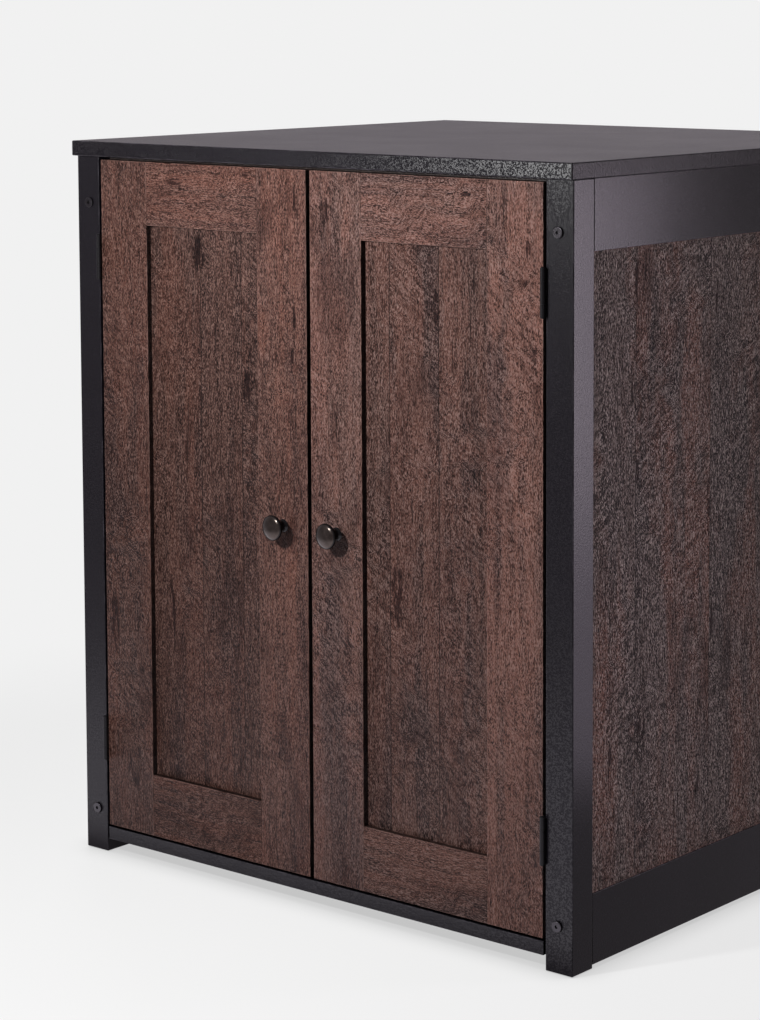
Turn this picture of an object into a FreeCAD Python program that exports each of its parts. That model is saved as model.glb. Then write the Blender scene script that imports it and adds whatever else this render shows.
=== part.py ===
import FreeCAD, Part
import os
# Two-door computer armoire: a post-and-rail case, butt-hinged frame-and-panel doors and, inside,
# a keyboard tray on slides over a tower bay.  Millimetres, +Z up, doors at -Y, +X to the right of
# someone who faces the doors.  The origin is on the floor, midway across the case and midway
# between the faces of the knobs and the back edge of the top.

# ------------------------------------------------------------------ driving sizes: case
CASE_WIDTH = 784.0              # over the outer faces of the posts
CASE_DEPTH = 730.0              # front face of the front posts to back face of the back posts
CASE_HEIGHT = 895.0             # floor to the underside of the top
POST = 38.0                     # square section of the corner posts
POST_EASE = 1.2                 # radius that breaks the posts' edges
GLIDE_PROUD = 1.0               # how far the nylon glides hold the posts off the floor
GLIDE_SUNK = 3.0
GLIDE_RADIUS = 11.0
GLIDE_CHAMFER = 0.6

TOP_THICKNESS = 19.0
TOP_FRONT_OVERHANG = 7.0
TOP_SIDE_OVERHANG = 3.0
TOP_BACK_OVERHANG = 3.0
TOP_EASE = 1.5

SIDE_RAIL_THICKNESS = 30.0
UPPER_RAIL_HEIGHT = 81.0
LOWER_RAIL_HEIGHT = 82.5
LOWER_RAIL_FOOT = 5.5           # underside of the lower rails above the floor
SIDE_PANEL_THICKNESS = 15.0
SIDE_PANEL_RECESS = 1.5         # outer face of a side panel behind the posts' outer faces
RAIL_EASE = 0.6

BOTTOM_THICKNESS = 16.0
BOTTOM_UNDERSIDE = 18.0
BOTTOM_POST_GAP = 3.0           # shadow gap between the bottom board and the posts

BACK_RAIL_THICKNESS = 18.0
BACK_PANEL_THICKNESS = 6.0
BACK_PANEL_RECESS = 2.0         # back panel behind the back faces of the posts
BACK_PANEL_PLAY = 1.0
FRONT_RAIL_HEIGHT = 40.0
FRONT_RAIL_THICKNESS = 18.0
DOOR_STOP_GAP = 2.0             # closed door to the rail behind it

# ------------------------------------------------------------------ driving sizes: doors
DOOR_THICKNESS = 18.0
DOOR_SIDE_GAP = 4.0             # door edge to post
DOOR_CENTRE_GAP = 6.0           # door to door
DOOR_TOP_GAP = 4.0
DOOR_FOOT_GAP = 3.0             # door to the bottom board
STILE_WIDTH = 80.0
DOOR_RAIL_WIDTH = 79.0
DOOR_EASE = 0.7
PANEL_THICKNESS = 6.0
PANEL_RECESS = 7.4              # panel face behind the face of the door frame
GROOVE_DEPTH = 9.0
TONGUE_LENGTH = 8.5             # how far the panel and the rails reach into the grooves
GLUE_LINE = 0.05

KNOB_RADIUS = 15.5
KNOB_PROJECTION = 24.0
KNOB_RIM = 3.4                  # depth of the head at its rim
KNOB_DOME = 3.0                 # rise of the head from its rim to its centre
KNOB_RIM_ROUND = 0.9            # how far the rim rounds in at its front and back
KNOB_STEM_RADIUS = 4.8          # at the waist
KNOB_WAIST_OUT = 8.8            # waist of the stem in front of the door
KNOB_FLARE_RADIUS = 9.6         # stem where it spreads under the head
KNOB_FLARE_DEPTH = 0.6          # hollow under the head there
KNOB_BASE_RADIUS = 8.0
KNOB_BASE_SLOPE = 1.6           # how far the base narrows towards its top
KNOB_BASE_THICKNESS = 1.6
KNOB_ABOVE_DOOR_FOOT = 425.0
KNOB_SCREW_RADIUS = 2.0
KNOB_SCREW_GRIP = 12.0          # length of the screw inside the knob
KNOB_SCREW_HEAD_RADIUS = 4.0
KNOB_SCREW_HEAD = 2.4
MACHINE_SCREW_FIT = 0.05

# ------------------------------------------------------------------ driving sizes: hinges
HINGE_LENGTH = 55.0
HINGE_BELOW_DOOR_TOP = 122.0    # middle of the upper hinge below the door's top edge
HINGE_ABOVE_DOOR_FOOT = 114.0   # middle of the lower hinge above the door's foot
END_KNUCKLE = 15.0
KNUCKLE_GAP = 0.3
BARREL_RADIUS = 3.0
BARREL_CLEAR = 0.5              # barrel in front of the door faces
LEAF_THICKNESS = 1.2
LEAF_WIDTH = 16.5
PIN_RADIUS = 1.5
PIN_RUNNING_FIT = 0.08
PIN_TIGHT_FIT = 0.02
PIN_HEAD_RADIUS = 2.4
PIN_HEAD = 1.2
PIN_HEAD_CHAMFER = 0.7
LEAF_SCREW_SPACING = 19.0

# ------------------------------------------------------------------ driving sizes: catches
CATCH_LENGTH = 26.0
CATCH_EAR = 12.0                # length of the screw ear at each end
CATCH_EAR_THICKNESS = 3.0
CATCH_HEIGHT = 14.0
CATCH_DEPTH = 16.0
CATCH_GAP = 0.6                 # strike plate to catch when the door is shut
CATCH_EASE = 1.0
STRIKE_WIDTH = 24.0
STRIKE_HEIGHT = 14.0
STRIKE_THICKNESS = 1.2

# ------------------------------------------------------------------ driving sizes: fasteners
BOLT_FROM_OUTER_FACE = 21.0     # bolt axis inside the posts' outer faces
BOLT_ABOVE_UPPER_RAIL_FOOT = 22.5
BOLT_BELOW_LOWER_RAIL_TOP = 32.5
BOLT_RADIUS = 3.0
BOLT_LENGTH = 64.0
BOLT_HEAD_RADIUS = 6.7
BOLT_HEAD = 2.4
BOLT_HEAD_EASE = 0.8
BOLT_SOCKET_RADIUS = 2.3        # over the corners of the hexagon
BOLT_SOCKET_DEPTH = 1.6
BOLT_HOLE_FIT = 0.5
NUT_RADIUS = 5.0
NUT_LENGTH = 20.0
NUT_INTO_RAIL = 20.0            # nut axis behind the end of the rail
NUT_FIT = 0.1

DOWEL_RADIUS = 4.0
DOWEL_LENGTH = 30.0
DOWEL_FIT = 0.1
DOWEL_END_PLAY = 0.5
DOWEL_COVER = 6.0               # wood left beyond a dowel hole that ends inside a board

SCREW_RADIUS = 1.6
SCREW_LENGTH = 14.0
SCREW_HEAD_RADIUS = 3.1
SCREW_HEAD = 1.2                # depth of the countersunk head
SCREW_FIT = 0.05
SCREW_TIP = 3.0
DRIVER_REACH = 0.6              # reach of a driver recess, as a share of its screw head's radius
DRIVER_DEPTH = 0.5              # depth of a driver recess, as a share of its screw head's depth
DRIVER_ARM = 4.0                # reach of a driver recess over half the width of its arms
BATTEN_SCREW_RADIUS = 2.4
BATTEN_SCREW_HEAD_RADIUS = 4.6
BATTEN_SCREW_BITE = 24.0        # length of a batten screw inside the post
BACK_SCREW_HEAD_RADIUS = 3.6
BACK_SCREW_HEAD = 1.8
BACK_SCREW_CROWN = 2.5          # radius of the flat on top of the head
BACK_SCREW_COUNT = 5            # along each back rail
BACK_SCREW_MARGIN = 40.0

BRACKET_LEG = 22.0
BRACKET_WIDTH = 16.0
BRACKET_THICKNESS = 2.0
BRACKET_SCREW_REACH = 13.0      # screws from the corner between the legs
BRACKET_SETBACK = 110.0         # bracket centre from the nearer post

# ------------------------------------------------------------------ driving sizes: interior
BATTEN_THICKNESS = 45.0         # packs the slides in, clear of the open doors
BATTEN_HEIGHT = 70.0
BATTEN_SETBACK = 6.0            # front end of a batten behind the shut doors
BATTEN_SCREW_SPACING = 40.0
SLIDE_HEIGHT_ABOVE_FLOOR = 660.0
SLIDE_WIDTH = 12.7
SLIDE_HEIGHT = 45.0
SLIDE_STEEL = 1.2
SLIDE_CLEAR = 0.4               # running clearance between nested slide members
SLIDE_SETBACK = 30.0            # front end of the outer members behind the batten's front end
SLIDE_LIP = 2.7                 # how far each member stops short of the slide's full width
MIDDLE_LENGTH = 420.0
TRAY_DEPTH = 330.0
TRAY_BOARD_THICKNESS = 15.0
TRAY_SIDE_THICKNESS = 15.0
TRAY_BACK_GAP = 3.0             # pushed-in tray to the line of the back posts
TRAY_BOARD_RAISE = 3.0          # underside of the tray board above the foot of its sides

DIVIDER_THICKNESS = 15.0
DIVIDER_FROM_CENTRE = 102.0     # middle of the divider, right of the centre line
DIVIDER_SETBACK = 24.0          # front edge behind the shut doors
SHELF_THICKNESS = 15.0
SHELF_BELOW_TRAY = 62.5         # upper face of the fixed shelf below the tray's slides
SHELF_SETBACK = 24.0
SHELF_PLAY = 1.0
PIN_HOLE_FIRST = 300.0          # lowest row of shelf pin holes above the floor
PIN_HOLE_PITCH = 32.0
PIN_HOLE_COUNT = 6
PIN_HOLE_IN_USE = 3             # the row that carries the loose shelf, counted from 0
PIN_INSET = 60.0                # pins from the shelf's front and back edges
SHELF_PIN_RADIUS = 2.5
SHELF_PIN_DEPTH = 8.0
SHELF_PIN_HEAD_RADIUS = 4.0
SHELF_PIN_HEAD_LENGTH = 7.0
SHELF_PIN_FIT = 0.1

CABLE_HOLE_RADIUS = 30.0
GROMMET_WALL = 4.0
GROMMET_FLANGE = 3.5
GROMMET_FLANGE_THICKNESS = 2.0
GROMMET_FIT = 0.2
LOW_CABLE_HOLE_ABOVE_RAIL = 82.0    # edge of the hole behind the tower bay to the rail under it
HIGH_CABLE_HOLE_BELOW_RAIL = 44.0   # edge of the hole behind the tray to the rail over it
HIGH_CABLE_HOLE_FROM_CENTRE = 200.0

# ------------------------------------------------------------------ places that follow
OVERALL_DEPTH = KNOB_PROJECTION + CASE_DEPTH + TOP_BACK_OVERHANG
FRONT = KNOB_PROJECTION - OVERALL_DEPTH / 2
BACK = FRONT + CASE_DEPTH
OUTER = CASE_WIDTH / 2
POST_INNER = OUTER - POST
RAIL_INNER = OUTER - SIDE_RAIL_THICKNESS
PANEL_OUTER = OUTER - SIDE_PANEL_RECESS
PANEL_INNER = PANEL_OUTER - SIDE_PANEL_THICKNESS
RAIL_FRONT = FRONT + POST
RAIL_BACK = BACK - POST
UPPER_RAIL_FOOT = CASE_HEIGHT - UPPER_RAIL_HEIGHT
LOWER_RAIL_TOP = LOWER_RAIL_FOOT + LOWER_RAIL_HEIGHT
BOTTOM_TOP = BOTTOM_UNDERSIDE + BOTTOM_THICKNESS
BACK_PANEL_FRONT = BACK - BACK_PANEL_RECESS - BACK_PANEL_THICKNESS
BACK_RAIL_FRONT = BACK_PANEL_FRONT - BACK_RAIL_THICKNESS

DOOR_INNER_EDGE = DOOR_CENTRE_GAP / 2
DOOR_OUTER_EDGE = POST_INNER - DOOR_SIDE_GAP
DOOR_FOOT = BOTTOM_TOP + DOOR_FOOT_GAP
DOOR_TOP = CASE_HEIGHT - DOOR_TOP_GAP
DOOR_BACK = FRONT + DOOR_THICKNESS
FRONT_RAIL_FRONT = DOOR_BACK + DOOR_STOP_GAP
FRONT_RAIL_FOOT = CASE_HEIGHT - FRONT_RAIL_HEIGHT
HINGE_X = (POST_INNER + DOOR_OUTER_EDGE) / 2
HINGE_Y = FRONT - BARREL_RADIUS - BARREL_CLEAR
HINGE_HEIGHTS = [DOOR_TOP - HINGE_BELOW_DOOR_TOP, DOOR_FOOT + HINGE_ABOVE_DOOR_FOOT]
LATCH_STILE_MIDDLE = DOOR_INNER_EDGE + STILE_WIDTH / 2
KNOB_HEIGHT = DOOR_FOOT + KNOB_ABOVE_DOOR_FOOT
CATCH_FRONT = DOOR_BACK + STRIKE_THICKNESS + CATCH_GAP
CATCH_FOOT = FRONT_RAIL_FOOT - CATCH_HEIGHT

BATTEN_INNER = POST_INNER - BATTEN_THICKNESS
BATTEN_FRONT = DOOR_BACK + BATTEN_SETBACK
SLIDE_FRONT = BATTEN_FRONT + SLIDE_SETBACK
SLIDE_BACK = RAIL_BACK - TRAY_BACK_GAP
TRAY_OUTER = BATTEN_INNER - SLIDE_WIDTH
DIVIDER_FRONT = DOOR_BACK + DIVIDER_SETBACK
DIVIDER_RIGHT_FACE = DIVIDER_FROM_CENTRE + DIVIDER_THICKNESS / 2
DIVIDER_LEFT_FACE = DIVIDER_FROM_CENTRE - DIVIDER_THICKNESS / 2
SHELF_TOP = SLIDE_HEIGHT_ABOVE_FLOOR - SLIDE_HEIGHT / 2 - SHELF_BELOW_TRAY
SHELF_FOOT = SHELF_TOP - SHELF_THICKNESS
SHELF_FRONT = DOOR_BACK + SHELF_SETBACK
SHELF_BACK = RAIL_BACK - TRAY_BACK_GAP
TOWER_BAY_MIDDLE = (DIVIDER_RIGHT_FACE + PANEL_INNER) / 2
LOW_CABLE_HOLE_HEIGHT = LOWER_RAIL_TOP + LOW_CABLE_HOLE_ABOVE_RAIL + CABLE_HOLE_RADIUS
HIGH_CABLE_HOLE_HEIGHT = UPPER_RAIL_FOOT - HIGH_CABLE_HOLE_BELOW_RAIL - CABLE_HOLE_RADIUS

X = FreeCAD.Vector(1, 0, 0)
Y = FreeCAD.Vector(0, 1, 0)
Z = FreeCAD.Vector(0, 0, 1)
SIDES = {"left": -1, "right": 1}


# ------------------------------------------------------------------ shop tools
def span(side, inner, outer):
    """Lowest and highest X of something between two distances from the centre line."""
    return sorted((side * inner, side * outer))


def block(x, y, z):
    """Square-edged board between the given (low, high) pairs."""
    corner = FreeCAD.Vector(x[0], y[0], z[0])
    return Part.makeBox(x[1] - x[0], y[1] - y[0], z[1] - z[0], corner)


def eased_block(x, y, z, radius):
    """Board with all its edges broken by a small radius."""
    board = block(x, y, z)
    return board.makeFillet(radius, board.Edges)


def rod(middle, axis, radius, length):
    """Cylinder centred on a point."""
    return Part.makeCylinder(radius, length, middle - axis * (length / 2), axis)


def peg(start, axis, radius, length):
    """Cylinder that starts at a point and runs along the axis."""
    return Part.makeCylinder(radius, length, start, axis)


def turned(profile):
    """Solid of revolution about Z from a closed profile of edges in the XZ plane."""
    return Part.Face(Part.Wire(profile)).revolve(FreeCAD.Vector(0, 0, 0), Z, 360)


def outline(points):
    """Straight edges through (radius, height) points, closed back to the first."""
    corners = [FreeCAD.Vector(radius, 0, height) for radius, height in points]
    corners.append(corners[0])
    pairs = [(a, b) for a, b in zip(corners, corners[1:]) if a != b]
    return [Part.LineSegment(a, b).toShape() for a, b in pairs]


def place(shape, point, direction):
    """Move a shape made at the origin with its head on top, so that it points along direction."""
    turn = FreeCAD.Rotation(FreeCAD.Vector(0, 0, -1), direction)
    moved = shape.copy()
    moved.Placement = FreeCAD.Placement(point, turn)
    return moved


def cut_all(solid, tools):
    """Cut out of a solid every tool that comes near it."""
    near = [tool for tool in tools if tool.BoundBox.intersect(solid.BoundBox)]
    return solid.cut(near).Solids[0] if near else solid


# ------------------------------------------------------------------ fasteners
def countersunk(radius, head_radius, head, length, grow=0.0):
    """Countersunk wood screw with its flat face at the origin; grow makes its hole."""
    return turned(outline([
        (0, grow), (head_radius + grow, grow), (head_radius + grow, 0), (radius + grow, -head),
        (radius + grow, SCREW_TIP - length), (0, -length - grow)]))


def cross_recess(reach, depth):
    """Cross-shaped driver recess in a screw face at the origin."""
    arm = reach / DRIVER_ARM
    across = block((-reach, reach), (-arm, arm), (-depth, depth))
    return across.fuse(block((-arm, arm), (-reach, reach), (-depth, depth)))


def wood_screw(point, direction):
    """Small countersunk screw with its face at a point."""
    screw = countersunk(SCREW_RADIUS, SCREW_HEAD_RADIUS, SCREW_HEAD, SCREW_LENGTH)
    recess = cross_recess(SCREW_HEAD_RADIUS * DRIVER_REACH, SCREW_HEAD * DRIVER_DEPTH)
    return place(screw.cut(recess), point, direction)


def wood_screw_hole(point, direction):
    """Countersunk hole for a small wood screw."""
    hole = countersunk(SCREW_RADIUS, SCREW_HEAD_RADIUS, SCREW_HEAD, SCREW_LENGTH, SCREW_FIT)
    return place(hole, point, direction)


def batten_screw(grow=0.0):
    """Long countersunk screw that holds a slide batten to a post, or its hole."""
    length = BATTEN_THICKNESS + BATTEN_SCREW_BITE
    head = BATTEN_SCREW_HEAD_RADIUS - BATTEN_SCREW_RADIUS
    return countersunk(BATTEN_SCREW_RADIUS, BATTEN_SCREW_HEAD_RADIUS, head, length, grow)


def pan_screw(grow=0.0):
    """Pan-headed screw for the back panel, seated under its head, or its hole."""
    head = turned(outline([
        (0, BACK_SCREW_HEAD), (BACK_SCREW_CROWN, BACK_SCREW_HEAD),
        (BACK_SCREW_HEAD_RADIUS, BACK_SCREW_HEAD / 2), (BACK_SCREW_HEAD_RADIUS, 0),
        (SCREW_RADIUS + grow, 0), (SCREW_RADIUS + grow, SCREW_TIP - SCREW_LENGTH),
        (0, -SCREW_LENGTH - grow)]))
    recess = cross_recess(BACK_SCREW_HEAD_RADIUS * DRIVER_REACH, BACK_SCREW_HEAD * DRIVER_DEPTH)
    recess.translate(FreeCAD.Vector(0, 0, BACK_SCREW_HEAD))
    return head.cut(recess)


def bolt():
    """Connector bolt with a thin flat head and a hexagon socket, seated under its head."""
    head = Part.makeCylinder(BOLT_HEAD_RADIUS, BOLT_HEAD)
    rim = [edge for edge in head.Edges if edge.BoundBox.ZMin > BOLT_HEAD / 2]
    head = head.makeFillet(BOLT_HEAD_EASE, rim)
    corners = [FreeCAD.Rotation(Z, 60 * turn).multVec(X * BOLT_SOCKET_RADIUS) for turn in range(7)]
    socket = Part.Face(Part.makePolygon(corners)).extrude(Z * BOLT_SOCKET_DEPTH)
    socket.translate(FreeCAD.Vector(0, 0, BOLT_HEAD - BOLT_SOCKET_DEPTH))
    shank = Part.makeCylinder(BOLT_RADIUS, BOLT_LENGTH, FreeCAD.Vector(0, 0, -BOLT_LENGTH))
    return head.cut(socket).fuse(shank).removeSplitter()


def bolt_places():
    """Seat of each frame bolt's head and the way it points: two through each post."""
    places = []
    upper = UPPER_RAIL_FOOT + BOLT_ABOVE_UPPER_RAIL_FOOT
    lower = LOWER_RAIL_TOP - BOLT_BELOW_LOWER_RAIL_TOP
    for side in SIDES.values():
        across = side * (OUTER - BOLT_FROM_OUTER_FACE)
        for height in (upper, lower):
            places.append((FreeCAD.Vector(across, FRONT, height), Y))
            places.append((FreeCAD.Vector(across, BACK, height), -Y))
    return places


def nut_places():
    """Middle of each barrel nut: in the end of a side rail, on its bolt's axis."""
    places = []
    for seat, direction in bolt_places():
        middle = seat + direction * (POST + NUT_INTO_RAIL)
        side = 1 if middle.x > 0 else -1
        middle.x = side * (RAIL_INNER + NUT_LENGTH / 2)
        places.append(middle)
    return places


def bolt_holes():
    """Clearance holes for the bolts and the blind cross holes for their nuts."""
    reach = BOLT_LENGTH + BOLT_HOLE_FIT
    holes = [peg(seat, way, BOLT_RADIUS + BOLT_HOLE_FIT, reach) for seat, way in bolt_places()]
    for middle in nut_places():
        holes.append(rod(middle, X, NUT_RADIUS + NUT_FIT, NUT_LENGTH + 2 * NUT_FIT))
    return holes


def barrel_nuts():
    """Slotted cross dowels of steel with a threaded cross bore."""
    nuts = []
    for middle, (seat, way) in zip(nut_places(), bolt_places()):
        bore = peg(seat, way, BOLT_RADIUS + MACHINE_SCREW_FIT, BOLT_LENGTH * 2)
        nuts.append(rod(middle, X, NUT_RADIUS, NUT_LENGTH).cut(bore))
    return nuts


def even(low, high, count):
    """Count places spread evenly between two ends, with half a step left at each end."""
    step = (high - low) / count
    return [low + step * (index + 0.5) for index in range(count)]


def stub(surface, thickness):
    """Shift of a dowel's middle so that it stops DOWEL_COVER short of the far face of a thin board."""
    return surface + DOWEL_LENGTH / 2 - (thickness - DOWEL_COVER)


def dowel_places():
    """Middle and direction of every dowel, joint by joint."""
    places = []
    lower_dowel = LOWER_RAIL_FOOT + (LOWER_RAIL_HEIGHT - BOLT_BELOW_LOWER_RAIL_TOP) / 2
    upper_dowel = CASE_HEIGHT - (UPPER_RAIL_HEIGHT - BOLT_ABOVE_UPPER_RAIL_FOOT) / 2
    for side in SIDES.values():
        rail_middle = side * (OUTER - SIDE_RAIL_THICKNESS / 2)
        panel_middle = side * (PANEL_OUTER - SIDE_PANEL_THICKNESS / 2)
        for joint in (RAIL_FRONT, RAIL_BACK):
            places.append((FreeCAD.Vector(rail_middle, joint, upper_dowel), Y))
            places.append((FreeCAD.Vector(rail_middle, joint, lower_dowel), Y))
            for height in even(LOWER_RAIL_TOP, UPPER_RAIL_FOOT, 3):
                places.append((FreeCAD.Vector(panel_middle, joint, height), Y))
        for depth in even(RAIL_FRONT, RAIL_BACK, 2):
            places.append((FreeCAD.Vector(panel_middle, depth, LOWER_RAIL_TOP), Z))
            places.append((FreeCAD.Vector(panel_middle, depth, UPPER_RAIL_FOOT), Z))
        for depth in even(RAIL_FRONT, RAIL_BACK, 3):
            bottom_middle = BOTTOM_UNDERSIDE + BOTTOM_THICKNESS / 2
            places.append((FreeCAD.Vector(side * RAIL_INNER, depth, bottom_middle), X))
        top_middle = CASE_HEIGHT - DOWEL_LENGTH / 2 + TOP_THICKNESS - DOWEL_COVER
        for post_middle in (FRONT + POST / 2, BACK - POST / 2):
            places.append((FreeCAD.Vector(side * (OUTER - POST / 2), post_middle, top_middle), Z))
        back_rail_middle = BACK_RAIL_FRONT + BACK_RAIL_THICKNESS / 2
        upper_bolt = UPPER_RAIL_FOOT + BOLT_ABOVE_UPPER_RAIL_FOOT + BOLT_HEAD_RADIUS
        lower_bolt = LOWER_RAIL_TOP - BOLT_BELOW_LOWER_RAIL_TOP - BOLT_HEAD_RADIUS
        heights = even(upper_bolt, CASE_HEIGHT - TOP_THICKNESS, 2) + even(LOWER_RAIL_FOOT, lower_bolt, 2)
        for height in heights:
            places.append((FreeCAD.Vector(side * POST_INNER, back_rail_middle, height), X))
        front_rail_middle = FRONT_RAIL_FRONT + FRONT_RAIL_THICKNESS / 2
        rail_height = FRONT_RAIL_FOOT + FRONT_RAIL_HEIGHT / 2
        places.append((FreeCAD.Vector(side * POST_INNER, front_rail_middle, rail_height), X))
    for depth in even(DIVIDER_FRONT, BACK_RAIL_FRONT, 2):
        foot = stub(BOTTOM_TOP, BOTTOM_THICKNESS)
        places.append((FreeCAD.Vector(DIVIDER_FROM_CENTRE, depth, foot), Z))
        head = SHELF_FOOT - (stub(0, SHELF_THICKNESS))
        places.append((FreeCAD.Vector(DIVIDER_FROM_CENTRE, depth, head), Z))
        wall = PANEL_INNER - stub(0, SIDE_PANEL_THICKNESS)
        places.append((FreeCAD.Vector(wall, depth, SHELF_FOOT + SHELF_THICKNESS / 2), X))
    return places


def dowel_holes():
    """Holes for all the dowels, a little wider and longer than they are."""
    length = DOWEL_LENGTH + 2 * DOWEL_END_PLAY
    return [rod(middle, axis, DOWEL_RADIUS + DOWEL_FIT, length) for middle, axis in dowel_places()]


def bracket_places():
    """Middle of each corner bracket along its side rail, by side."""
    return [(side, depth) for side in SIDES.values()
            for depth in (RAIL_FRONT + BRACKET_SETBACK, RAIL_BACK - BRACKET_SETBACK)]


def bracket_screw_places():
    """Face and direction of the two screws in each corner bracket."""
    places = []
    for side, depth in bracket_places():
        rail_face = RAIL_INNER - BRACKET_THICKNESS
        places.append((FreeCAD.Vector(side * rail_face, depth, CASE_HEIGHT - BRACKET_SCREW_REACH), X * side))
        top_face = CASE_HEIGHT - BRACKET_THICKNESS
        across = side * (RAIL_INNER - BRACKET_SCREW_REACH)
        places.append((FreeCAD.Vector(across, depth, top_face), Z))
    return places


def corner_brackets():
    """Steel angles under the top, screwed to it and to the upper side rails."""
    holes = [wood_screw_hole(*spot) for spot in bracket_screw_places()]
    brackets = []
    for side, depth in bracket_places():
        along = (depth - BRACKET_WIDTH / 2, depth + BRACKET_WIDTH / 2)
        upright = block(span(side, RAIL_INNER - BRACKET_THICKNESS, RAIL_INNER), along,
                        (CASE_HEIGHT - BRACKET_LEG, CASE_HEIGHT))
        flat = block(span(side, RAIL_INNER - BRACKET_LEG, RAIL_INNER), along,
                     (CASE_HEIGHT - BRACKET_THICKNESS, CASE_HEIGHT))
        brackets.append(cut_all(upright.fuse(flat).removeSplitter(), holes))
    return brackets


def back_screw_places():
    """Seats of the pan-headed screws through the back panel into the two back rails."""
    seat = BACK_PANEL_FRONT + BACK_PANEL_THICKNESS
    reach = POST_INNER - BACK_SCREW_MARGIN
    step = 2 * reach / (BACK_SCREW_COUNT - 1)
    upper = (UPPER_RAIL_FOOT + CASE_HEIGHT) / 2
    lower = (BOTTOM_TOP + LOWER_RAIL_TOP) / 2
    return [(FreeCAD.Vector(-reach + step * index, seat, height), -Y)
            for height in (upper, lower) for index in range(BACK_SCREW_COUNT)]


def batten_screw_places():
    """Seats of the long screws through the slide battens into the posts."""
    places = []
    half = BATTEN_SCREW_SPACING / 2
    front_spot = (BATTEN_FRONT + RAIL_FRONT) / 2
    back_spot = (RAIL_BACK + BACK_PANEL_FRONT) / 2
    for side in SIDES.values():
        for depth in (front_spot, back_spot):
            for height in (SLIDE_HEIGHT_ABOVE_FLOOR - half, SLIDE_HEIGHT_ABOVE_FLOOR + half):
                places.append((FreeCAD.Vector(side * BATTEN_INNER, depth, height), X * side))
    return places


# ------------------------------------------------------------------ case
DRILLING = dowel_holes() + bolt_holes()


def top():
    """The top: one thick board whose edges stand proud of the case all round."""
    board = eased_block((-OUTER - TOP_SIDE_OVERHANG, OUTER + TOP_SIDE_OVERHANG),
                        (FRONT - TOP_FRONT_OVERHANG, BACK + TOP_BACK_OVERHANG),
                        (CASE_HEIGHT, CASE_HEIGHT + TOP_THICKNESS), TOP_EASE)
    screws = [wood_screw_hole(*spot) for spot in bracket_screw_places()]
    return cut_all(board, DRILLING + screws)


def post(side, low_y):
    """Square corner post with a shallow seat for its glide and all its drillings."""
    blank = eased_block(span(side, POST_INNER, OUTER), (low_y, low_y + POST),
                        (GLIDE_PROUD, CASE_HEIGHT), POST_EASE)
    middle = FreeCAD.Vector(side * (OUTER - POST / 2), low_y + POST / 2, GLIDE_PROUD)
    seat = peg(middle, Z, GLIDE_RADIUS + DOWEL_FIT, GLIDE_SUNK)
    screws = [place(batten_screw(SCREW_FIT), *spot) for spot in batten_screw_places()]
    hinge_screws = [wood_screw_hole(*spot) for spot in frame_leaf_screw_places(side)]
    return cut_all(blank, DRILLING + [seat] + screws + hinge_screws)


def floor_glides():
    """Nylon discs let into the foot of each post."""
    thickness = GLIDE_PROUD + GLIDE_SUNK
    disc = turned(outline([
        (0, 0), (GLIDE_RADIUS - GLIDE_CHAMFER, 0), (GLIDE_RADIUS, GLIDE_CHAMFER),
        (GLIDE_RADIUS, thickness), (0, thickness)]))
    glides = []
    for side in SIDES.values():
        for middle in (FRONT + POST / 2, BACK - POST / 2):
            glide = disc.copy()
            glide.translate(FreeCAD.Vector(side * (OUTER - POST / 2), middle, 0))
            glides.append(glide)
    return glides


def side_rail(side, foot, height):
    """Rail between a front and a back post, flush with their outer faces."""
    blank = eased_block(span(side, RAIL_INNER, OUTER), (RAIL_FRONT, RAIL_BACK),
                        (foot, foot + height), RAIL_EASE)
    screws = [wood_screw_hole(*spot) for spot in bracket_screw_places()]
    return cut_all(blank, DRILLING + screws)


def side_panel(side):
    """Board that closes a side between its posts and rails; the right one has shelf pin holes."""
    board = block(span(side, PANEL_INNER, PANEL_OUTER), (RAIL_FRONT, RAIL_BACK),
                  (LOWER_RAIL_TOP, UPPER_RAIL_FOOT))
    pin_holes = shelf_pin_holes() if side > 0 else []
    return cut_all(board, DRILLING + pin_holes)


def bottom_board():
    """Bottom board: flush with the post faces in front, let in round all four posts."""
    board = block((-RAIL_INNER, RAIL_INNER), (FRONT, BACK_RAIL_FRONT), (BOTTOM_UNDERSIDE, BOTTOM_TOP))
    notches = []
    inner = POST_INNER - BOTTOM_POST_GAP
    for side in SIDES.values():
        for y in ((FRONT, RAIL_FRONT + BOTTOM_POST_GAP), (RAIL_BACK - BOTTOM_POST_GAP, BACK)):
            notches.append(block(span(side, inner, OUTER), y, (0, LOWER_RAIL_TOP)))
    return cut_all(board, DRILLING + notches)


def back_rail(foot, height):
    """Rail between the back posts that the back panel is screwed to."""
    rail = block((-POST_INNER, POST_INNER), (BACK_RAIL_FRONT, BACK_PANEL_FRONT), (foot, foot + height))
    return cut_all(rail, DRILLING + [place(pan_screw(SCREW_FIT), *spot) for spot in back_screw_places()])


def cable_hole_places():
    """Middle of each cable hole in the back panel."""
    return [FreeCAD.Vector(TOWER_BAY_MIDDLE, BACK_PANEL_FRONT, LOW_CABLE_HOLE_HEIGHT),
            FreeCAD.Vector(-HIGH_CABLE_HOLE_FROM_CENTRE, BACK_PANEL_FRONT, HIGH_CABLE_HOLE_HEIGHT)]


def back_panel():
    """Thin back between the back posts, with two cable holes."""
    half = POST_INNER - BACK_PANEL_PLAY
    sheet = block((-half, half), (BACK_PANEL_FRONT, BACK_PANEL_FRONT + BACK_PANEL_THICKNESS),
                  (LOWER_RAIL_FOOT, CASE_HEIGHT - BACK_PANEL_PLAY))
    holes = [rod(middle, Y, CABLE_HOLE_RADIUS, 4 * BACK_PANEL_THICKNESS) for middle in cable_hole_places()]
    holes += [place(pan_screw(SCREW_FIT), *spot) for spot in back_screw_places()]
    return cut_all(sheet, holes)


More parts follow.
